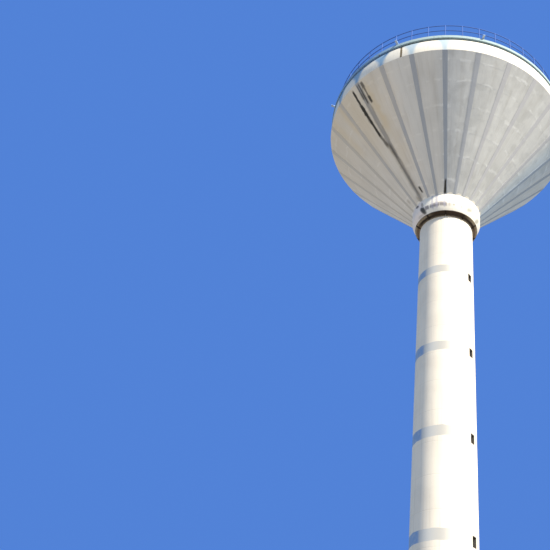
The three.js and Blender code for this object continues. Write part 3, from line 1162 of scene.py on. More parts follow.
@dataclass(frozen=True)
class CollarPaint:
    """White paint on the ring beam, with a line of smudges, thin violet runs and a few stains."""

    bottom: float
    white: Colour = (0.92, 0.915, 0.88, 1.0)
    grey: Colour = (0.84, 0.835, 0.80, 1.0)
    smudge: Colour = (0.27, 0.255, 0.29, 1.0)
    violet: Colour = (0.42, 0.43, 0.56, 1.0)
    faint: Colour = (0.34, 0.36, 0.34, 1.0)
    soot: Colour = (0.05, 0.055, 0.055, 1.0)
    shaded_tint: Colour = (0.97, 0.91, 0.93, 1.0)
    shaded: Side = Side(-150.0, 56.0, 44.0)
    drips: Runs = Runs(2.6, 0.5, 0.54, 0.80, 0.25)
    smudge_side: Side = Side(-78.0, 33.0, 16.0, 0.88)
    smudge_gaps: Runs = Runs(4.5, 2.0, 0.32, 0.50)
    smudge_line: Triple = (0.22, 0.42, 0.10)
    smudge_wobble: float = 0.12
    violet_rise: Point = (0.10, 0.24)
    foot_line: Point = (0.03, 0.005)
    foot_stray: float = 0.03
    violet_runs: Sequence[Side] = (
        Side(-83.0, 2.8, 1.0, 0.55),
        Side(-75.3, 3.08, 1.1, 0.68),
        Side(-62.0, 2.66, 0.95, 0.62),
    )
    blots: Sequence[Blot] = (
        Blot((-102.4, 0.28), (4.7, 0.21), -16.0, 0.97),
        Blot((-117.2, 0.76), (4.0, 0.10), -30.0, 0.85),
        Blot((-103.5, 0.60), (2.6, 0.17), -8.0, 0.50),
    )
    faint_blots: Sequence[Blot] = (
        Blot((-15.5, 0.34), (5.5, 0.15), 20.0, 0.80),
        Blot((11.0, 0.17), (5.0, 0.13), 20.0, 0.75),
        Blot((-46.0, 0.29), (2.2, 0.06), 0.0, 0.60),
        Blot((-32.0, 0.27), (1.8, 0.06), 0.0, 0.45),
        Blot((-110.0, 0.10), (8.0, 0.07), -25.0, 0.40),
    )

    def material(self) -> Material:
        """Makes the material.

        Returns:
            The material.
        """
        graph = RoundGraph("collar_paint")
        above = graph.above(graph.height, self.bottom)
        Plaster(self.white, self.grey, 2.0).lay(graph)
        graph.coat(self.drips.mask(graph), self.smudge)
        level = graph.total(above, graph.stray(graph.noise(scale=3.0, detail=3.0), self.smudge_wobble))
        line = graph.between(level, *self.smudge_line)
        side = self.smudge_side.mask(graph)
        graph.coat(graph.product(line, side, self.smudge_gaps.mask(graph, above)), self.smudge)
        for run in self.violet_runs:
            graph.coat(graph.product(run.mask(graph), graph.ease(above, *self.violet_rise)), self.violet)
        for blots, shade in ((self.faint_blots, self.faint), (self.blots, self.soot)):
            graph.coat(graph.either(*(blot.mask(graph, above) for blot in blots)), shade)
        graph.coat(self.shaded.mask(graph), self.shaded_tint, Blend.TINT)
        ragged = graph.stray(graph.noise(scale=5.0, detail=4.0), self.foot_stray)
        graph.coat(graph.ease(graph.total(above, ragged), *self.foot_line), self.soot)
        return graph.finish(rough=0.66, depth=0.004)


@dataclass(frozen=True)
class RoofConcrete:
    """Weathered concrete: red-brown towards the verge, green-grey by the lantern, a blue edge."""

    edge_radius: float
    edge_top: float
    inner: float
    concrete: Colour = (0.27, 0.235, 0.205, 1.0)
    lichen: Colour = (0.15, 0.155, 0.125, 1.0)
    rusty: Colour = (0.235, 0.16, 0.125, 1.0)
    pale: Colour = (0.33, 0.335, 0.29, 1.0)
    spot: Colour = (0.10, 0.105, 0.085, 1.0)
    lip: Colour = (0.34, 0.475, 0.545, 1.0)
    # Painted shade: the edge's blue on the side in shade
    lip_shaded_blue: Colour = (0.20, 0.37, 0.63, 1.0)
    washed: Runs = Runs(3.0, 2.5, 0.48, 0.75, 0.45)
    spots: Clouds = Clouds(3.2, 5.0, 0.60, 0.68, 0.5)
    lip_chips: Clouds = Clouds(5.0, 5.0, 0.76, 0.66)
    lip_runs: Runs = Runs(1.2, 0.3, 0.5, 0.8, 0.3)
    lip_shaded_side: Side = Side(-108.0, 36.0, 14.0)
    rusty_from: float = 1.6
    rusty_short: float = 0.5
    rusty_cover: float = 0.65
    pale_from: float = 0.3
    pale_reach: float = 1.8
    pale_cover: float = 0.6
    lip_width: Point = (0.13, 0.11)
    lip_over: Point = (0.01, -0.004)

    def material(self) -> Material:
        """Makes the material.

        Returns:
            The material.
        """
        graph = RoundGraph("roof_concrete")
        Plaster(self.concrete, self.lichen, 0.8, 60.0).lay(graph)
        start, stop = self.inner + self.rusty_from, self.edge_radius - self.rusty_short
        graph.coat(graph.ease(graph.radius, start, stop, self.rusty_cover), self.rusty)
        start, stop = self.inner + self.pale_reach, self.inner + self.pale_from
        graph.coat(graph.ease(graph.radius, start, stop, self.pale_cover), self.pale)
        graph.coat(self.washed.mask(graph, graph.radius), self.lichen)
        graph.coat(self.spots.mask(graph), self.spot)
        # Painted shade: the blue edge turns a deeper blue on the side in shade
        lip = graph.mixed(self.lip_shaded_side.mask(graph), self.lip, self.lip_shaded_blue)
        lip = graph.mixed(self.lip_runs.mask(graph), lip, self.lichen)
        outside = graph.ease(graph.radius, *(self.edge_radius - width for width in self.lip_width))
        below = graph.ease(graph.height, *(self.edge_top + over for over in self.lip_over))
        graph.coat(graph.product(outside, below, self.lip_chips.mask(graph)), lip)
        return graph.finish(rough=0.86, depth=0.006)


@dataclass(frozen=True)
class StainedWall:
    """Painted or bare concrete with soft runs from its top: the lantern, its cap and the floors."""

    name: str
    tone: Colour
    shadow: Colour
    stain: Colour
    top: float
    reach: float = 1.0
    edge_height: float = 0.0
    edge: Colour = (0.62, 0.60, 0.53, 1.0)
    drips: Runs = Runs(2.2, 0.8, 0.42, 0.70)
    blotches: Clouds = Clouds(3.0, 5.0, 0.58, 0.72, 0.35)
    drip_strength: float = 0.65
    edge_wander: float = 0.03
    edge_cover: float = 0.85

    def material(self) -> Material:
        """Makes the material.

        Returns:
            The material.
        """
        graph = RoundGraph(self.name)
        Plaster(self.tone, self.shadow, 1.1, 55.0).lay(graph)
        below = graph.ease(graph.height, self.top - self.reach, self.top, self.drip_strength)
        graph.coat(graph.product(self.drips.mask(graph), below), self.stain)
        graph.coat(self.blotches.mask(graph), self.stain)
        if self.edge_height:
            wander = graph.product(graph.noise(scale=4.0, detail=4.0), self.edge_wander)
            level = graph.total(graph.height, wander)
            start = self.edge_height + self.edge_wander
            graph.coat(graph.ease(level, start, self.edge_height, self.edge_cover), self.edge)
        return graph.finish(rough=0.82, depth=0.005)


@dataclass(frozen=True)
class PaintedSteel:
    """Paint on steel that has worn to rust in patches."""

    name: str
    tone: Colour
    rust: Colour = (0.13, 0.06, 0.03, 1.0)
    fresh_rust: Colour = (0.24, 0.12, 0.05, 1.0)
    dust: Colour = (0.20, 0.20, 0.19, 1.0)
    worn: float = 0.3
    rough: float = 0.45
    grain: float = 14.0
    dust_rise: Triple = (0.35, 0.75, 0.35)
    fresh_rise: Triple = (0.40, 0.70, 0.6)
    unworn_limit: float = 0.72
    worn_limit: float = 0.37
    rust_edge: float = 0.09
    rust_relief: float = 0.6
    rusty_rough: float = 0.85

    def material(self) -> Material:
        """Makes the material.

        Returns:
            The material.
        """
        graph = Graph(self.name)
        fine = graph.noise(self.grain * 8, 3.0)
        limit = self.unworn_limit + (self.worn_limit - self.unworn_limit) * self.worn
        rusty = graph.ease(graph.noise(self.grain, 6.0), limit, limit + self.rust_edge)
        graph.colour = graph.mixed(graph.ease(fine, *self.dust_rise), self.tone, self.dust)
        rust = graph.mixed(graph.ease(fine, *self.fresh_rise), self.rust, self.fresh_rust)
        graph.coat(rusty, rust)
        grained = graph.product(fine, 1 - self.rust_relief)
        graph.relief = graph.total(graph.product(rusty, self.rust_relief), grained)
        rough = graph.math("MULTIPLY_ADD", rusty, self.rusty_rough - self.rough, self.rough)
        return graph.finish(rough, depth=0.0015)


@dataclass(frozen=True)
class CarrierSteel:
    """The carrier's steel: painted shade, almost lightless, up by the shaft in its recess and on the side
    at -53 degrees where one looks up into it; the joints' own deep colour; and brown with rust on the
    flanks and at its outer edge.
    """

    inner: float
    outer: float
    segments: int
    first_joint: float
    # Painted shade of the recess, which the joints share as their own colour
    shade_and_joint_black: Colour = (0.018, 0.009, 0.004, 1.0)
    front_shade: Colour = (0.030, 0.013, 0.004, 1.0)
    brown: Colour = (0.30, 0.255, 0.185, 1.0)
    rust: Colour = (0.15, 0.10, 0.065, 1.0)
    flank_side: Side = Side(-53.0, 26.0, 58.0)
    rusty_flank_side: Side = Side(-53.0, 62.0, 84.0)
    waviness: float = 0.05
    edge_shares: Point = (0.62, 0.84)
    lip_shares: Point = (0.42, 0.20)
    lip_cover: float = 0.55
    rust_rise: Triple = (0.48, 0.66, 0.6)
    joint_edge: Triple = (2.6, 1.2, 0.9)

    def radius_at(self, share: float) -> float:
        """Gives the radius at a share of the ring's width."""
        return self.inner + (self.outer - self.inner) * share

    def material(self) -> Material:
        """Makes the material.

        Returns:
            The material.
        """
        graph = RoundGraph("rusty_steel")
        clouds = graph.noise(scale=9.0, detail=5.0)
        wavy = graph.math("MULTIPLY_ADD", clouds, self.waviness, graph.radius)
        edge = graph.ease(wavy, *map(self.radius_at, self.edge_shares))
        # Painted shade: the ring stays almost lightless towards -53 degrees, where the recess is seen in
        # shade, and is brown with rust on the flanks
        away = self.flank_side.mask(graph)
        graph.colour = graph.mixed(self.rusty_flank_side.mask(graph), self.shade_and_joint_black, self.rust)
        graph.coat(edge, graph.mixed(away, self.front_shade, self.brown))
        graph.coat(graph.product(graph.ease(clouds, *self.rust_rise), edge, away), self.rust)
        graph.coat(graph.ease(wavy, *map(self.radius_at, self.lip_shares), self.lip_cover), self.brown)
        joints = graph.off_nearest(self.segments, self.first_joint)
        graph.coat(graph.ease(joints, *self.joint_edge), self.shade_and_joint_black)
        graph.relief = clouds
        return graph.finish(rough=0.8, depth=0.003)


@dataclass(frozen=True)
class LampGlass:
    """The dusty front glass of a floodlight."""

    tone: Colour = (0.42, 0.52, 0.68, 1.0)
    dust: Colour = (0.30, 0.36, 0.44, 1.0)
    coat: float = 0.5
    dust_rise: Triple = (0.4, 0.75, 0.7)
    clean_rough: float = 0.05
    dusty_rough: float = 0.40

    def material(self) -> Material:
        """Makes the material.

        Returns:
            The material.
        """
        graph = Graph("lamp_glass")
        graph.relief = graph.noise(scale=22.0, detail=5.0)
        graph.colour = graph.mixed(graph.ease(graph.relief, *self.dust_rise), self.tone, self.dust)
        graph.feed(graph.shader.inputs["Coat Weight"], self.coat)
        span = self.dusty_rough - self.clean_rough
        rough = graph.math("MULTIPLY_ADD", graph.relief, span, self.clean_rough)
        return graph.finish(rough, depth=0.0005)


@dataclass(frozen=True)
class StudioFloor:
    """A plain pale floor with a trace of cloudiness."""

    tone: Colour = (0.36, 0.335, 0.31, 1.0)
    shade: Colour = (0.3348, 0.31155, 0.2883, 1.0)

    def material(self) -> Material:
        """Makes the material.

        Returns:
            The material.
        """
        graph = Graph("studio_floor")
        graph.relief = graph.noise(scale=0.15, detail=3.0)
        graph.colour = graph.mixed(graph.relief, self.tone, self.shade)
        return graph.finish(rough=0.9, depth=0.001)


# The tower's sub-assemblies


@dataclass
class Shaft:
    """The slip-formed shaft: lengths of one tube, with window holes and the doorway."""

    radius: float
    wall: float = 0.18
    steps: int = 96
    lengths: Sequence[str] = ("shaft_base", "shaft_lower", "shaft_middle", "shaft_upper", "shaft_head")
    landings: int = 5
    sill_above_floor: float = 0.71
    window: Point = (0.25, 0.38)
    arris: float = 0.014
    ring_margin: float = 0.10
    reveal_margins: Point = (0.012, 0.010)
    bands_from_windows: Sequence[Point] = (
        (-0.14, 0.29),
        (-0.14, 0.27),
        (-0.14, 0.27),
        (-0.20, 0.20),
        (-0.09, 0.28),
    )
    bare: StainedWall = StainedWall(
        "bare_concrete",
        tone=(0.42, 0.41, 0.38, 1.0),
        shadow=(0.32, 0.31, 0.29, 1.0),
        stain=(0.2, 0.19, 0.17, 1.0),
        top=40.0,
    )

    def window_heights(self) -> list[float]:
        """Works out the windows' middles from the floors below them."""
        floors = (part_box(name)[1].z for name in numbered("landing", self.landings))
        return [floor + self.sill_above_floor + self.window[1] / 2 for floor in floors]

    def cut_opening(self, piece: Object, size: Point, middle: float) -> None:
        """Cuts an opening through the wall that faces +X and rounds its outer arris.

        Args:
            piece: The length of shaft.
            size: The opening's width and height.
            middle: The height of its middle.
        """
        centre = (self.radius - self.wall / 2, 0.0, middle)
        combine(piece, add_block("opening", (self.wall * 3, *size), centre), Joining.CUT)

        def on_arris(first: Vector, second: Vector) -> bool:
            """Tells the edges of the opening's outer arris.

            Args:
                first: One end of an edge.
                second: Its other end.

            Returns:
                Whether the edge lies on the arris.
            """
            ends = (first, second)
            outside = all(end.x >= 0 and math.hypot(end.x, end.y) >= self.radius - 0.01 for end in ends)
            beside = [size[0] / 2 - abs(end.y) for end in ends]
            level = [size[1] / 2 - abs(end.z - middle) for end in ends]
            on_line = max(map(abs, beside)) < NEAR or max(map(abs, level)) < NEAR
            return outside and on_line and min(*beside, *level) > -NEAR

        with editing(piece, Pick.EDGES):
            if pick(piece, on_arris, Pick.EDGES):
                bpy.ops.mesh.bevel(offset=self.arris, segments=2, affect="EDGES")

    def length(self, name: str) -> Object:
        """Models one length.

        Args:
            name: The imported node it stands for.

        Returns:
            The length.
        """
        low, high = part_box(name)
        piece = tube(f"{name}_wall", (self.radius - self.wall, self.radius), (low.z, high.z), self.steps)
        openings = [(self.window, middle) for middle in self.window_heights() if low.z < middle < high.z]
        if low.z < SEAT:
            door_low, door_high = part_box("door_frame")
            size = (door_high.y - door_low.y + 2 * SEAT, door_high.z - door_low.z + 2 * SEAT)
            openings.append((size, (door_high.z + door_low.z) / 2))
        rings = []
        for size, middle in openings:
            reach = size[1] / 2 + self.ring_margin
            rings += [middle - reach, middle + reach]
        cut_rings(piece, [ring for ring in rings if low.z < ring < high.z])
        for size, middle in openings:
            self.cut_opening(piece, size, middle)
        smooth(piece)
        return piece

    def build(self) -> None:
        """Models and paints all lengths, and dresses the floors inside."""
        middles = self.window_heights()
        sills = [middle - self.window[1] / 2 for middle in middles]
        bands = [(at + low, at + high) for at, (low, high) in zip(middles, self.bands_from_windows)]
        inner, outer = self.reveal_margins
        reveal = (self.radius - self.wall + inner, self.radius - outer)
        finish = ShaftPaint(bands, sills, reveal).material()
        for name in self.lengths:
            hand_over(self.length(name), finish, Slot.SHAFT, name)
        bare = self.bare.material()
        for name in ["ground_floor", *numbered("landing", self.landings)]:
            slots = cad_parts[name].data.materials
            slots.clear()
            slots.append(bare)
            LOG.info("%s: the packed solid, in bare concrete", name)


@dataclass
class Doorway:
    """The steel frame at the shaft's foot and the panelled leaf that is shut in it."""

    face: float = 0.05
    stile: float = 0.085
    middle_rail: float = 0.42
    panel_depth: float = 0.007
    hinges: Sequence[float] = (0.12, 0.5, 0.88)
    hinge_radius: float = 0.011
    hinge_length: float = 0.10
    pull_radius: float = 0.009
    pull_length: float = 0.16
    pull_off_edge: float = 0.06
    pull_off_face: float = 0.032
    lock_plate: Triple = (0.004, 0.04, 0.11)
    paint: PaintedSteel = PaintedSteel(
        "door_paint", (0.20, 0.27, 0.30, 1.0), worn=0.35, rough=0.5, grain=6.0
    )

    def surround(self) -> Object:
        """Models the frame: a block whose faces are inset and bridged through.

        Returns:
            The frame.
        """
        surround = block_in_place("door_surround", "door_frame")
        with editing(surround):
            pick(surround, lambda middle, normal: abs(normal.x) > FACING)
            bpy.ops.mesh.inset(thickness=self.face, depth=0)
            bpy.ops.mesh.bridge_edge_loops()
        ease_edges(surround, width=0.004)
        return surround

    def leaf(self) -> Object:
        """Models the leaf with two pressed panels on each side.

        Returns:
            The leaf.
        """
        low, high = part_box("door_leaf")
        leaf = block_in_place("door_panel", "door_leaf")
        cut_rings(leaf, [low.z + (high.z - low.z) * self.middle_rail])
        with editing(leaf):
            pick(leaf, lambda middle, normal: abs(normal.x) > FACING)
            for width, depth in ((self.stile, 0), (self.panel_depth * 2, -self.panel_depth)):
                bpy.ops.mesh.inset(thickness=width, depth=depth, use_individual=True)
        ease_edges(leaf, width=0.003, segments=2, sharper_than=25.0)
        return leaf

    def fittings(self) -> list[Object]:
        """Models the hinges' knuckles and the pull handle with its lock plate.

        Returns:
            The fittings.
        """
        low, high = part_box("door_leaf")
        parts = []
        half = UP * self.hinge_length / 2
        for share in self.hinges:
            middle = low.z + (high.z - low.z) * share
            foot = Vector((high.x + self.hinge_radius * 0.6, low.y + self.hinge_radius, middle))
            parts.append(add_rod("hinge", self.hinge_radius, foot - half, foot + half, 12))
        grip = Vector((high.x + self.pull_off_face, high.y - self.pull_off_edge, (low.z + high.z) / 2))
        half = UP * self.pull_length / 2
        parts.append(add_rod("pull", self.pull_radius, grip - half, grip + half, 12))
        for end in (grip - half * 0.8, grip + half * 0.8):
            wall = Vector((high.x - 0.002, end.y, end.z))
            parts.append(add_rod("pull_leg", self.pull_radius * 0.9, wall, end, 12))
        place = (high.x + 0.001, grip.y, grip.z - self.pull_length)
        parts.append(add_block("lock_plate", self.lock_plate, place, 0.001))
        return parts

    def build(self) -> None:
        """Models and paints the doorway."""
        finish = self.paint.material()
        hand_over(self.surround(), finish, Slot.DOOR, "door_frame")
        leaf = join("door_panel", [self.leaf(), *self.fittings()])
        smooth(leaf)
        hand_over(leaf, finish, Slot.DOOR, "door_leaf")


@dataclass
class Collar:
    """The ring beam at the tank's foot and the steelwork under it."""

    shaft_radius: float
    foot_radius: float = 1.41
    chamfer_height: float = 0.33
    steps: int = 96
    segments: int = 10
    first_joint: float = 12.0
    joint: float = 0.04
    plate: float = 0.02
    edge_height: float = 0.04
    lug: Triple = (0.10, 0.012, 0.07)
    bolt_radius: float = 0.012
    bolt_proud: float = 0.012

    def __post_init__(self) -> None:
        """Works out the inner radius and lists the joints, in degrees from +X."""
        self.inner = self.shaft_radius + SEAT
        self.joints = [self.first_joint + index * 360 / self.segments for index in range(self.segments)]

    def beam(self) -> Object:
        """Models the ring beam, splayed outside below.

        Returns:
            The beam.
        """
        low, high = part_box("tank_collar")
        section = [
            (self.inner, low.z),
            (self.foot_radius, low.z),
            (high.x, low.z + self.chamfer_height),
            (high.x, high.z),
            (self.inner, high.z),
        ]
        beam = turned("collar_beam", section, self.steps)
        ease_edges(beam, width=0.012, segments=2, sharper_than=20.0)
        smooth(beam)
        return beam

    def haunch(self) -> Object:
        """Models the haunched ring under the plate, parted into segments by radial joints.

        Returns:
            The haunched segments.
        """
        low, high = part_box("carrier_ring")
        edge = high.x - self.plate
        top = high.z - self.plate / 2
        section = [(self.inner, low.z), (edge, high.z - self.edge_height), (edge, top), (self.inner, top)]
        haunch = turned("carrier_haunch", section, self.steps)
        size = ((edge - self.inner) * 2, self.joint, (top - low.z) * 2)
        cutter = add_block("joint", size, ((self.inner + edge) / 2, 0, (top + low.z) / 2))
        combine(haunch, join("joints", copied_round(cutter, self.joints)), Joining.CUT)
        ease_edges(haunch, width=0.004)
        return haunch

    def joint_lugs(self) -> Object:
        """Models the two lugs and the bolt that draw one joint together.

        Returns:
            The lugs and the bolt.
        """
        low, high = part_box("carrier_ring")
        middle = Vector(((self.shaft_radius + high.x) / 2, 0, (low.z + high.z) / 2 - self.plate))
        lugs = []
        for side in (-1, 1):
            place = middle + Vector((0, side * (self.joint + self.lug[1]) / 2, 0))
            lugs.append(add_block("lug", self.lug, place, 0.002))
        reach = Vector((0, self.joint / 2 + self.lug[1] + self.bolt_proud, 0))
        below = middle - UP * self.lug[2] * 0.25
        bolt = add_rod("bolt", self.bolt_radius, below - reach, below + reach, 6)
        return join("joint_lugs", [*lugs, bolt])

    def carrier(self) -> Object:
        """Models the flat ring on its haunched segments, with lugs at each joint.

        Returns:
            The steelwork.
        """
        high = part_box("carrier_ring")[1]
        ring = tube("carrier_plate", (self.inner, high.x), (high.z - self.plate, high.z), self.steps)
        ease_edges(ring, width=0.004)
        lugs = copied_round(self.joint_lugs(), self.joints)
        whole = join("carrier_steelwork", [ring, self.haunch(), *lugs])
        smooth(whole)
        return whole

    def build(self) -> None:
        """Models and dresses the beam and the carrier."""
        finish = CollarPaint(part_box("tank_collar")[0].z).material()
        hand_over(self.beam(), finish, Slot.COLLAR, "tank_collar")
        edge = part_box("carrier_ring")[1].x
        steel = CarrierSteel(self.shaft_radius, edge, self.segments, self.first_joint).material()
        hand_over(self.carrier(), steel, Slot.STEEL, "carrier_ring")


@dataclass
class TankCone:
    """The cone of the tank: a round shell cast in lifts, with a tapered rib every few degrees."""

    foot_radius: float
    head_radius: float
    ribs: int = 24
    facets: int = 5
    pieces: int = 8
    thickness: float = 0.15
    rib_foot: float = 0.110
    rib_head: float = 0.235
    rib_proud: float = 0.010
    lift_height: float = 0.002
    lift_width: float = 0.03
    lifts: Sequence[float] = (0.10, 0.27, 0.445, 0.62, 0.79, 0.93)
    rings_between: Sequence[float] = (0.33, 0.67)
    overrun: float = 0.06
    unevenness: float = 0.009
    uneven_grain: float = 0.9
    facing_down: float = -0.4

    def __post_init__(self) -> None:
        """Reads the cone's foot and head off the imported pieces."""
        low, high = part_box("tank_cone_1")
        self.bottom, self.top, self.rise = low.z, high.z, high.z - low.z
        self.step = math.tau / self.ribs

    def radius_at(self, way_up: float) -> float:
        """Gives the radius at a way up the slope, 0 to 1."""
        return self.foot_radius + (self.head_radius - self.foot_radius) * way_up

    def rib_half(self, way_up: float) -> float:
        """Gives half a rib's width at a way up the slope."""
        return (self.rib_foot + (self.rib_head - self.rib_foot) * way_up) / 2

    def outward(self, rib: int) -> Vector:
        """Gives the level direction in which a rib lies, counted from +X."""
        return Vector((math.cos(self.step * rib), math.sin(self.step * rib), 0.0))

    def rib_edge(self, way_up: float, rib: int, side: int) -> Vector:
        """Gives a point on the edge of a rib.

        Args:
            way_up: The way up the slope, 0 to 1.
            rib: Which rib, counted from +X.
            side: 1 for its left edge, seen from the axis, or -1 for its right one.

        Returns:
            The point.
        """
        outward = self.outward(rib)
        across = UP.cross(outward) * side * self.rib_half(way_up)
        return outward * self.radius_at(way_up) + across + UP * (self.bottom + self.rise * way_up)

    def one_bay(self) -> Object:
        """Models the outer face from one rib to the next, cut along the ribs' edges and the lifts.

        Returns:
            The bay.
        """
        clear_selection()
        bpy.ops.mesh.primitive_cone_add(
            vertices=self.ribs * self.facets,
            radius1=self.radius_at(-self.overrun),
            radius2=self.radius_at(1 + self.overrun),
            depth=self.rise * (1 + 2 * self.overrun),
            end_fill_type="NOTHING",
            location=(0, 0, (self.top + self.bottom) / 2),
        )
        bay = settle(bpy.context.object, "tank_cone_shell")
        with editing(bay):
            pick(bay, lambda middle, normal: not 0 < math.atan2(middle.y, middle.x) < self.step)
            bpy.ops.mesh.delete(type="FACE")
            for rib, side in ((0, 1), (1, -1)):
                low, high = self.rib_edge(0, rib, side), self.rib_edge(1, rib, side)
                slice_through(low, (high - low).cross(self.outward(rib)).normalized())
        cut_rings(bay, self.ring_heights())
        return bay

    def ring_heights(self) -> list[float]:
        """Lists the heights of all level cuts: both edges of each lift line, and some between.

        Returns:
            The heights.
        """
        heights = []
        marks = (0.0, *self.lifts, 1.0)
        for low, high in zip(marks, marks[1:]):
            for share in self.rings_between:
                heights.append(self.bottom + self.rise * (low + (high - low) * share))
        for lift in self.lifts:
            middle = self.bottom + self.rise * lift
            heights += [middle - self.lift_width / 2, middle + self.lift_width / 2]
        return heights

    def on_rib(self, middle: Vector, normal: Vector) -> bool:
        """Tells the faces of the ribs.

        Args:
            middle: The middle of a face.
            normal: Its normal.

        Returns:
            Whether it lies on a rib and faces down.
        """
        turn = abs((math.atan2(middle.y, middle.x) + self.step / 2) % self.step - self.step / 2)
        beside = math.hypot(middle.x, middle.y) * math.sin(turn)
        way_up = (middle.z - self.bottom) / self.rise
        return normal.z < self.facing_down and beside < self.rib_half(way_up)

    def on_lift(self, middle: Vector, normal: Vector) -> bool:
        """Tells the faces of the lift lines between the ribs.

        Args:
            middle: The middle of a face.
            normal: Its normal.

        Returns:
            Whether it lies on a lift line and faces down.
        """
        way_up = (middle.z - self.bottom) / self.rise
        near = min(abs(way_up - lift) for lift in self.lifts) * self.rise < self.lift_width / 4
        return near and normal.z < self.facing_down and not self.on_rib(middle, normal)

    def shell(self) -> Object:
        """Models the whole cone.

        Returns:
            The cone.
        """
        shell = self.one_bay()
        with editing(shell):
            bpy.ops.mesh.select_all(action="SELECT")
            bpy.ops.mesh.spin(
                steps=self.ribs - 1, dupli=True, angle=math.tau - self.step, center=(0, 0, 0), axis=UP
            )
            merge_and_face_out()
            if pick(shell, lambda middle, normal: normal.z > 0):
                bpy.ops.mesh.select_all(action="SELECT")
                bpy.ops.mesh.flip_normals()
        hand_finish(shell, self.unevenness, self.uneven_grain)
        apply_modifier(shell, "SOLIDIFY", thickness=self.thickness, offset=-1.0, use_even_offset=True)
        with editing(shell):
            for wanted, height in ((self.on_rib, self.rib_proud), (self.on_lift, self.lift_height)):
                pick(shell, wanted)
                bpy.ops.mesh.extrude_region_shrink_fatten(TRANSFORM_OT_shrink_fatten={"value": height})
        trim_level(shell, self.bottom, keep_above=True)
        trim_level(shell, self.top, keep_above=False)
        combine(shell, self.envelope(), Joining.KEEP)
        smooth(shell, degrees=25.0)
        return shell

    def envelope(self) -> Object:
        """Makes the drum that the ribs' heads are cut off flush with.

        Returns:
            The drum.
        """
        clear_selection()
        bpy.ops.mesh.primitive_cylinder_add(
            vertices=self.ribs * self.facets,
            radius=self.head_radius,
            depth=self.rise * 1.2,
            location=(0, 0, (self.top + self.bottom) / 2),
        )
        return settle(bpy.context.object, "envelope")

    def build(self) -> None:
        """Models and paints the cone."""
        sizes = (self.bottom, self.top, self.ribs, self.rib_foot, self.rib_head, self.lifts)
        finish = ConePaint(*sizes).material()
        hand_over(self.shell(), finish, Slot.TANK, *numbered("tank_cone", self.pieces))


@dataclass
class TankHead:
    """The tank's upright wall with its groove, and the roof slab on it."""

    radius: float
    ribs: int
    rib_head: float
    steps: int = 120
    wall: float = 0.20
    groove_height: float = 0.14
    groove_depth: float = 0.045
    roof_edge: float = 0.17
    verge: float = 0.345
    drip_inset: Point = (0.07, 0.045)
    drip_depth: float = 0.012
    slab: float = 0.11
    crown: Point = (2.15, 2.45)
    crown_depth: float = 0.25

    def rim(self) -> Object:
        """Models the wall, grooved under the roof's edge.

        Returns:
            The wall.
        """
        low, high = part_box("tank_rim")
        inner = self.radius - self.wall
        groove = self.radius - self.groove_depth
        ledge = high.z - self.groove_height
        section = [
            (inner, low.z),
            (self.radius, low.z),
            (self.radius, ledge),
            (groove, ledge),
            (groove, high.z),
            (inner, high.z),
        ]
        rim = turned("tank_wall", section, self.steps)
        ease_edges(rim, width=0.012)
        smooth(rim)
        return rim

    def roof(self) -> Object:
        """Models the roof: a verge with a drip, a shallow slope, and a curb for the lantern.

        Returns:
            The roof.
        """
        low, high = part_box("roof_slab")
        edge_top = low.z + self.roof_edge
        seat = self.radius - self.wall
        inner, curb = self.crown
        drip_inner, drip_outer = (high.x - inset for inset in self.drip_inset)
        section = [
            (seat, low.z),
            (drip_inner, low.z),
            (drip_inner, low.z + self.drip_depth),
            (drip_outer, low.z + self.drip_depth),
            (drip_outer, low.z),
            (high.x, low.z),
            (high.x, edge_top),
            (high.x - self.verge, edge_top),
            (curb, high.z),
            (inner, high.z),
            (inner, high.z - self.crown_depth),
            (curb, high.z - self.crown_depth),
            (curb, high.z - self.slab),
            (seat, edge_top - self.slab),
        ]
        roof = turned("roof_deck", section, self.steps)
        ease_edges(roof, width=0.010)
        smooth(roof, degrees=12.0)
        return roof

    def build(self) -> None:
        """Models and dresses the wall and the roof."""
        low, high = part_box("tank_rim")
        finish = RimPaint(low.z, high.z - self.groove_height, self.ribs, self.rib_head).material()
        hand_over(self.rim(), finish, Slot.RIM, "tank_rim")
        low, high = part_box("roof_slab")
        concrete = RoofConcrete(high.x, low.z + self.roof_edge, self.crown[1]).material()
        hand_over(self.roof(), concrete, Slot.ROOF, "roof_slab")


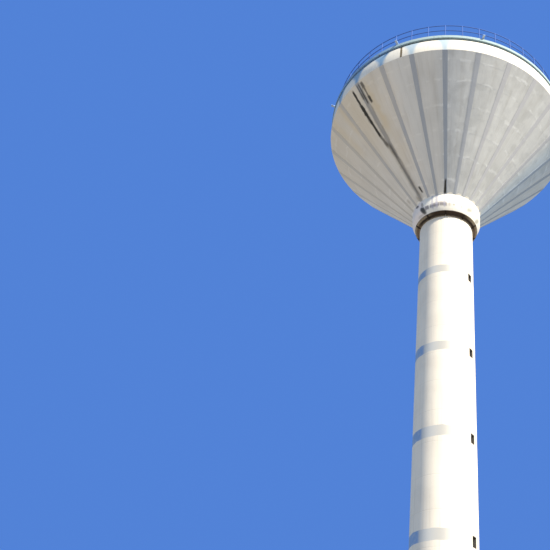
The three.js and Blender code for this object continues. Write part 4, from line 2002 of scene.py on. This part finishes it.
@dataclass
class Lantern:
    """The round lantern on the roof: a drum with window openings, and its shallow cap."""

    wall: float = 0.12
    walls: int = 5
    windows_each: int = 3
    pitch: float = 18.0
    window: Point = (0.56, 0.58)
    sill: float = 0.50
    ring_margin: float = 0.08
    steps: int = 80
    cap_edge: float = 0.09
    cap_verge: Point = (0.16, 0.02)
    cap_drip: Point = (0.05, 0.04)
    drip_depth: float = 0.009
    cap_thickness: float = 0.11
    seat_margin: float = 0.045
    cream: Sequence[Colour] = ((0.62, 0.59, 0.50, 1.0), (0.50, 0.47, 0.39, 1.0), (0.17, 0.15, 0.12, 1.0))
    concrete: Sequence[Colour] = (
        (0.30, 0.265, 0.225, 1.0),
        (0.20, 0.185, 0.155, 1.0),
        (0.12, 0.115, 0.095, 1.0),
    )

    def __post_init__(self) -> None:
        """Reads the drum's radius and heights off the wall that faces +X."""
        low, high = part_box("lantern_wall_1")
        self.radius, self.bottom, self.top = high.x, low.z, high.z

    def drum(self) -> Object:
        """Models the drum with all its window openings.

        Returns:
            The drum.
        """
        radii = (self.radius - self.wall, self.radius)
        drum = tube("lantern_drum", radii, (self.bottom, self.top), self.steps)
        half = self.window[1] / 2
        middle = self.bottom + self.sill + half
        cut_rings(drum, [middle - half - self.ring_margin, middle + half + self.ring_margin])
        size = (self.wall * 3, *self.window)
        cutter = add_block("opening", size, (self.radius - self.wall / 2, 0, middle))
        turns = [
            bay * 360 / self.walls + (index - (self.windows_each - 1) / 2) * self.pitch
            for bay in range(self.walls)
            for index in range(self.windows_each)
        ]
        combine(drum, join("openings", copied_round(cutter, turns)), Joining.CUT)
        ease_edges(drum, width=0.008)
        smooth(drum)
        return drum

    def cap(self) -> Object:
        """Models the cap: a shallow cone with a drip edge, hollow below.

        Returns:
            The cap.
        """
        low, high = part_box("lantern_cap")
        edge_top = low.z + self.cap_edge
        inner = self.radius - self.wall - self.seat_margin
        seat = self.top + SEAT
        ceiling = edge_top + (high.z - edge_top) * (1 - inner / high.x) - self.cap_thickness
        section = [
            (0.0, high.z - self.cap_thickness),
            (inner, ceiling),
            (inner, seat),
            (self.radius + self.seat_margin, seat),
            (high.x - self.cap_drip[0], low.z + self.drip_depth),
            (high.x - self.cap_drip[1], low.z),
            (high.x, low.z),
            (high.x, edge_top),
            (high.x - self.cap_verge[0], edge_top + self.cap_verge[1]),
            (0.0, high.z),
        ]
        cap = turned("lantern_roof", section, self.steps)
        ease_edges(cap, width=0.010)
        smooth(cap, degrees=20.0)
        return cap

    def build(self) -> None:
        """Models and dresses the drum and the cap."""
        cream = StainedWall("lantern_paint", *self.cream, self.top).material()
        hand_over(self.drum(), cream, Slot.LANTERN, *numbered("lantern_wall", self.walls))
        low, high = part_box("lantern_cap")
        edge_top = low.z + self.cap_edge
        concrete = StainedWall("cap_concrete", *self.concrete, high.z, edge_height=edge_top).material()
        hand_over(self.cap(), concrete, Slot.ROOF, "lantern_cap")


@dataclass
class GuardRail:
    """The two-bar rail round the roof, in equal lengths of round tube on bolted posts."""

    roof_edge: float
    radius: float = 5.68
    bar: float = 0.038
    bar_steps: int = 36
    post: float = 0.046
    heights: Sequence[float] = (0.69, 1.08)
    lengths: int = 5
    posts: int = 45
    first_post: float = 4.0
    base_plate: Triple = (0.12, 0.12, 0.010)
    anchor_inset: float = 0.042
    anchor_radius: float = 0.008
    anchor_length: float = 0.016
    paint: PaintedSteel = PaintedSteel(
        "rail_paint",
        (0.045, 0.125, 0.46, 1.0),
        dust=(0.06, 0.15, 0.45, 1.0),
        worn=0.05,
        rough=0.75,
        grain=9.0,
    )

    def bar_piece(self, height: float) -> Object:
        """Models one bar of one length: a ring spun part of the way round, with its ends closed.

        Args:
            height: The height of its middle.

        Returns:
            The bar.
        """
        clear_selection()
        bpy.ops.mesh.primitive_circle_add(
            vertices=12,
            radius=self.bar / 2,
            fill_type="NOTHING",
            location=(self.radius, 0, height),
            rotation=(math.pi / 2, 0, 0),
        )
        bar = settle(bpy.context.object, "bar")
        span = math.tau / self.lengths
        with editing(bar, Pick.EDGES):
            bpy.ops.mesh.select_all(action="SELECT")
            bpy.ops.mesh.spin(steps=self.bar_steps, angle=span, center=(0, 0, 0), axis=UP)
            bpy.ops.mesh.select_all(action="DESELECT")
            bpy.ops.mesh.select_non_manifold()
            bpy.ops.mesh.edge_face_add()
            merge_and_face_out()
        return bar

    def post_piece(self) -> Object:
        """Models one post on its base plate, with four bolts.

        Returns:
            The post.
        """
        foot = Vector((self.radius, 0, self.roof_edge))
        top = foot + UP * (self.heights[-1] + self.bar / 2)
        parts = [add_rod("post", self.post / 2, foot, top, 14)]
        thickness = self.base_plate[2]
        parts.append(add_block("base_plate", self.base_plate, foot + UP * thickness / 2, 0.003))
        for x in (-self.anchor_inset, self.anchor_inset):
            for y in (-self.anchor_inset, self.anchor_inset):
                place = foot + Vector((x, y, self.anchor_radius))
                tip = place + UP * self.anchor_length
                parts.append(add_rod("anchor", self.anchor_radius, place, tip, 6))
        return join("rail_post", parts)

    def build(self) -> None:
        """Models the first length, copies it round and paints it."""
        finish = self.paint.material()
        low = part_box("guard_rail_1")[0].z
        bars = [self.bar_piece(low + height) for height in self.heights]
        each = self.posts // self.lengths
        turns = [self.first_post + index * 360 / self.posts for index in range(each)]
        first = join("rail_length_1", [*bars, *copied_round(self.post_piece(), turns)])
        smooth(first)
        for index, node in enumerate(numbered("guard_rail", self.lengths)):
            piece = first
            if index:
                piece = turned_copy(first, f"rail_length_{index + 1}", index * 360 / self.lengths)
            hand_over(piece, finish, Slot.RAIL, node)


@dataclass
class RimLamps:
    """The floodlights that lean out over the roof's edge on short arms."""

    roof_edge: float
    start: float = 5.763
    arm: float = 0.20
    arm_radius: float = 0.014
    arm_height: float = 0.03
    rise: float = math.radians(12.0)
    head: Triple = (0.24, 0.11, 0.055)
    case_share: float = 0.7
    glass_border: float = 0.012
    glass_slope: float = 0.004
    glass_depth: float = 0.008
    fins: int = 7
    fin: Triple = (0.005, 0.099, 0.02)
    fin_spread: float = 0.8
    fin_sunk: float = 0.010
    foot: Triple = (0.06, 0.06, 0.012)
    stub_radius: float = 0.018
    bolt_radius: float = 0.006
    bolt_inset: float = 0.021
    cheek: Triple = (0.05, 0.004, 0.03)
    angles: Sequence[float] = (-131, -82, -43, 2, 50, 98, 140, 182)
    paint: PaintedSteel = PaintedSteel(
        "lamp_metal",
        (0.36, 0.54, 0.90, 1.0),
        (0.25, 0.14, 0.07, 1.0),
        dust=(0.27, 0.40, 0.66, 1.0),
        worn=0.03,
        rough=0.35,
        grain=18.0,
    )

    def along(self, reach: float, above: float = 0.0) -> Vector:
        """Gives a point on the arm's line.

        Args:
            reach: How far along the arm.
            above: How far off it, square to the arm.

        Returns:
            The point, for a lamp that faces +X.
        """
        cos, sin = math.cos(self.rise), math.sin(self.rise)
        z = self.roof_edge + self.arm_height + reach * sin + above * cos
        return Vector((self.start + reach * cos - above * sin, 0.0, z))

    def housing(self, enamel: Material, glass: Material) -> Object:
        """Models the head: an eased case with a recessed glass below and fins above.

        Args:
            enamel: The material of the case.
            glass: The material of the glass.

        Returns:
            The head.
        """
        length, width, depth = self.head
        case_depth = depth * self.case_share
        middle = self.along(self.arm, (case_depth - depth) / 2)
        case = add_block("case", (length, width, case_depth), middle, lean=-self.rise)
        down = Vector((math.sin(self.rise), 0, -math.cos(self.rise)))
        case.data.materials.append(enamel)
        case.data.materials.append(glass)
        with editing(case):
            pick(case, lambda middle, normal: normal.dot(down) > FACING)
            bpy.ops.mesh.inset(thickness=self.glass_border, depth=0)
            bpy.ops.mesh.inset(thickness=self.glass_slope, depth=-self.glass_depth)
            case.active_material_index = 1
            bpy.ops.object.material_slot_assign()
        ease_edges(case, width=0.006, segments=2, sharper_than=50.0)
        fins = []
        for index in range(self.fins):
            reach = self.arm + length * (index / (self.fins - 1) - 0.5) * self.fin_spread
            fin = add_block("fin", self.fin, self.along(reach, depth / 2 - self.fin_sunk), lean=-self.rise)
            ease_edges(fin, width=0.001, segments=1)
            fins.append(fin)
        return join("housing", [case, *fins])

    def bracket(self) -> Object:
        """Models the arm, its clamp by the head, and its bolted foot.

        Returns:
            The bracket.
        """
        length, width, _ = self.head
        seat = Vector((self.start, 0, self.roof_edge + self.foot[2] / 2))
        parts = [
            add_rod("arm", self.arm_radius, self.along(0), self.along(self.arm - length * 0.3), 12),
            add_block("foot", self.foot, seat, 0.002),
            add_rod("stub", self.stub_radius, seat, self.along(0.01), 12),
        ]
        for side in (-1, 1):
            place = Vector((self.start, side * self.bolt_inset, self.roof_edge + 0.010))
            parts.append(add_rod("bolt", self.bolt_radius, place, place + UP * self.bolt_radius * 2, 6))
        clamp = self.along(self.arm - length / 2 + 0.02)
        for side in (-1, 1):
            place = clamp + Vector((0, side * (width + self.cheek[1]) / 2, 0))
            cheek = add_block("cheek", self.cheek, place, lean=-self.rise)
            ease_edges(cheek, width=0.001, segments=1)
            parts.append(cheek)
        return join("bracket", parts)

    def build(self) -> None:
        """Models one lamp, copies it round the roof and dresses it."""
        enamel = self.paint.material()
        bracket = self.bracket()
        bracket.data.materials.append(enamel)
        lamp = join("lamp", [self.housing(enamel, LampGlass().material()), bracket])
        smooth(lamp)
        for index, angle in enumerate(self.angles):
            piece = turned_copy(lamp, f"floodlight_{index + 1}", angle)
            hand_over(piece, enamel, Slot.LAMP, f"rim_lamp_{index + 1}")
        bpy.data.objects.remove(lamp)


@dataclass
class Studio:
    """The pale floor, the soft warm key, the cool backdrop and the photograph's camera."""

    focal_pixels: float = 752.1
    image_pixels: float = 550.0
    sensor: float = 36.0
    centre_pixel: float = 407.5
    distance: float = 25.81
    eye_height: float = 1.6
    stand: float = math.radians(-59.0)
    tilt: float = math.radians(38.58)
    roll: float = math.radians(2.72)
    yaw: float = math.radians(3.73)
    reach: float = 4000.0
    key_height: float = 37.0
    key_strength: float = 8.0
    key_colour: Triple = (1.0, 0.87, 0.66)
    key_softness: float = 5.0
    sky_light: Colour = (0.21, 0.37, 0.60, 1.0)
    backdrop: Colour = (0.085, 0.225, 0.68, 1.0)
    floor_radius: float = 1500.0
    floor_drop: float = 0.002

    def floor(self) -> None:
        """Lays the floor."""
        clear_selection()
        bpy.ops.mesh.primitive_circle_add(
            vertices=96, radius=self.floor_radius, fill_type="NGON", location=(0, 0, -self.floor_drop)
        )
        floor = settle(bpy.context.object, "studio_floor")
        floor.data.materials.append(StudioFloor().material())

    def light(self) -> None:
        """Sets the key light and the backdrop's even light."""
        clear_selection()
        bpy.ops.object.light_add(type="SUN", location=(0, 0, 60))
        key = bpy.context.object
        key.data.energy = self.key_strength
        key.data.color = self.key_colour
        key.data.angle = math.radians(self.key_softness)
        angle, height = math.radians(SUNNY_SIDE), math.radians(self.key_height)
        level = math.cos(height)
        towards = Vector((level * math.cos(angle), level * math.sin(angle), math.sin(height)))
        key.rotation_euler = towards.to_track_quat("Z", "Y").to_euler()
        bpy.context.scene.world = self.sky()
        bpy.context.scene.view_settings.view_transform = "Standard"

    def sky(self) -> World:
        """Makes the even light from all round, and the deeper blue that is seen behind the tower.

        Returns:
            The world.
        """
        world = bpy.data.worlds.new("backdrop")
        world.use_nodes = True
        tree = world.node_tree
        ambient = tree.nodes["Background"]
        ambient.inputs["Color"].default_value = self.sky_light
        seen = tree.nodes.new("ShaderNodeBackground")
        seen.inputs["Color"].default_value = self.backdrop
        ray = tree.nodes.new("ShaderNodeLightPath")
        mix = tree.nodes.new("ShaderNodeMixShader")
        for source, target in (
            (ray.outputs["Is Camera Ray"], mix.inputs[0]),
            (ambient.outputs[0], mix.inputs[1]),
            (seen.outputs[0], mix.inputs[2]),
            (mix.outputs[0], tree.nodes["World Output"].inputs["Surface"]),
        ):
            tree.links.new(source, target)
        return world

    def camera(self) -> None:
        """Stands the camera where the photograph was taken from."""
        turn = self.stand + math.pi + self.yaw
        ahead = Vector((math.cos(turn), math.sin(turn), 0.0))
        right = Vector((ahead.y, -ahead.x, 0.0))
        forward = ahead * math.cos(self.tilt) + UP * math.sin(self.tilt)
        above = -ahead * math.sin(self.tilt) + UP * math.cos(self.tilt)
        side = right * math.cos(self.roll) + above * math.sin(self.roll)
        top = above * math.cos(self.roll) - right * math.sin(self.roll)
        clear_selection()
        bpy.ops.object.camera_add()
        camera = bpy.context.object
        x, y = self.distance * math.cos(self.stand), self.distance * math.sin(self.stand)
        turn_matrix = Matrix((side, top, -forward)).transposed().to_4x4()
        camera.matrix_world = Matrix.Translation((x, y, self.eye_height)) @ turn_matrix
        camera.data.sensor_width = self.sensor
        camera.data.lens = self.focal_pixels * self.sensor / self.image_pixels
        camera.data.shift_x = (self.image_pixels / 2 - self.centre_pixel) / self.image_pixels
        camera.data.clip_end = self.reach
        bpy.context.scene.camera = camera


def main() -> None:
    """Builds the studio and the tower's sub-assemblies in order."""
    logging.basicConfig(level=logging.INFO, format="%(message)s")
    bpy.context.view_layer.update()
    studio = Studio()
    studio.camera()
    studio.light()
    studio.floor()
    shaft_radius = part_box("shaft_base")[1].x
    tank_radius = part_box("tank_rim")[1].x
    roof_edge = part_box("guard_rail_1")[0].z
    cone = TankCone(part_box("tank_collar")[1].x, tank_radius)
    for assembly in (
        Shaft(shaft_radius),
        Doorway(),
        Collar(shaft_radius),
        cone,
        TankHead(tank_radius, cone.ribs, cone.rib_head),
        Lantern(),
        GuardRail(roof_edge),
        RimLamps(roof_edge),
    ):
        assembly.build()
    clear_selection()


if __name__ == "__main__":
    main()
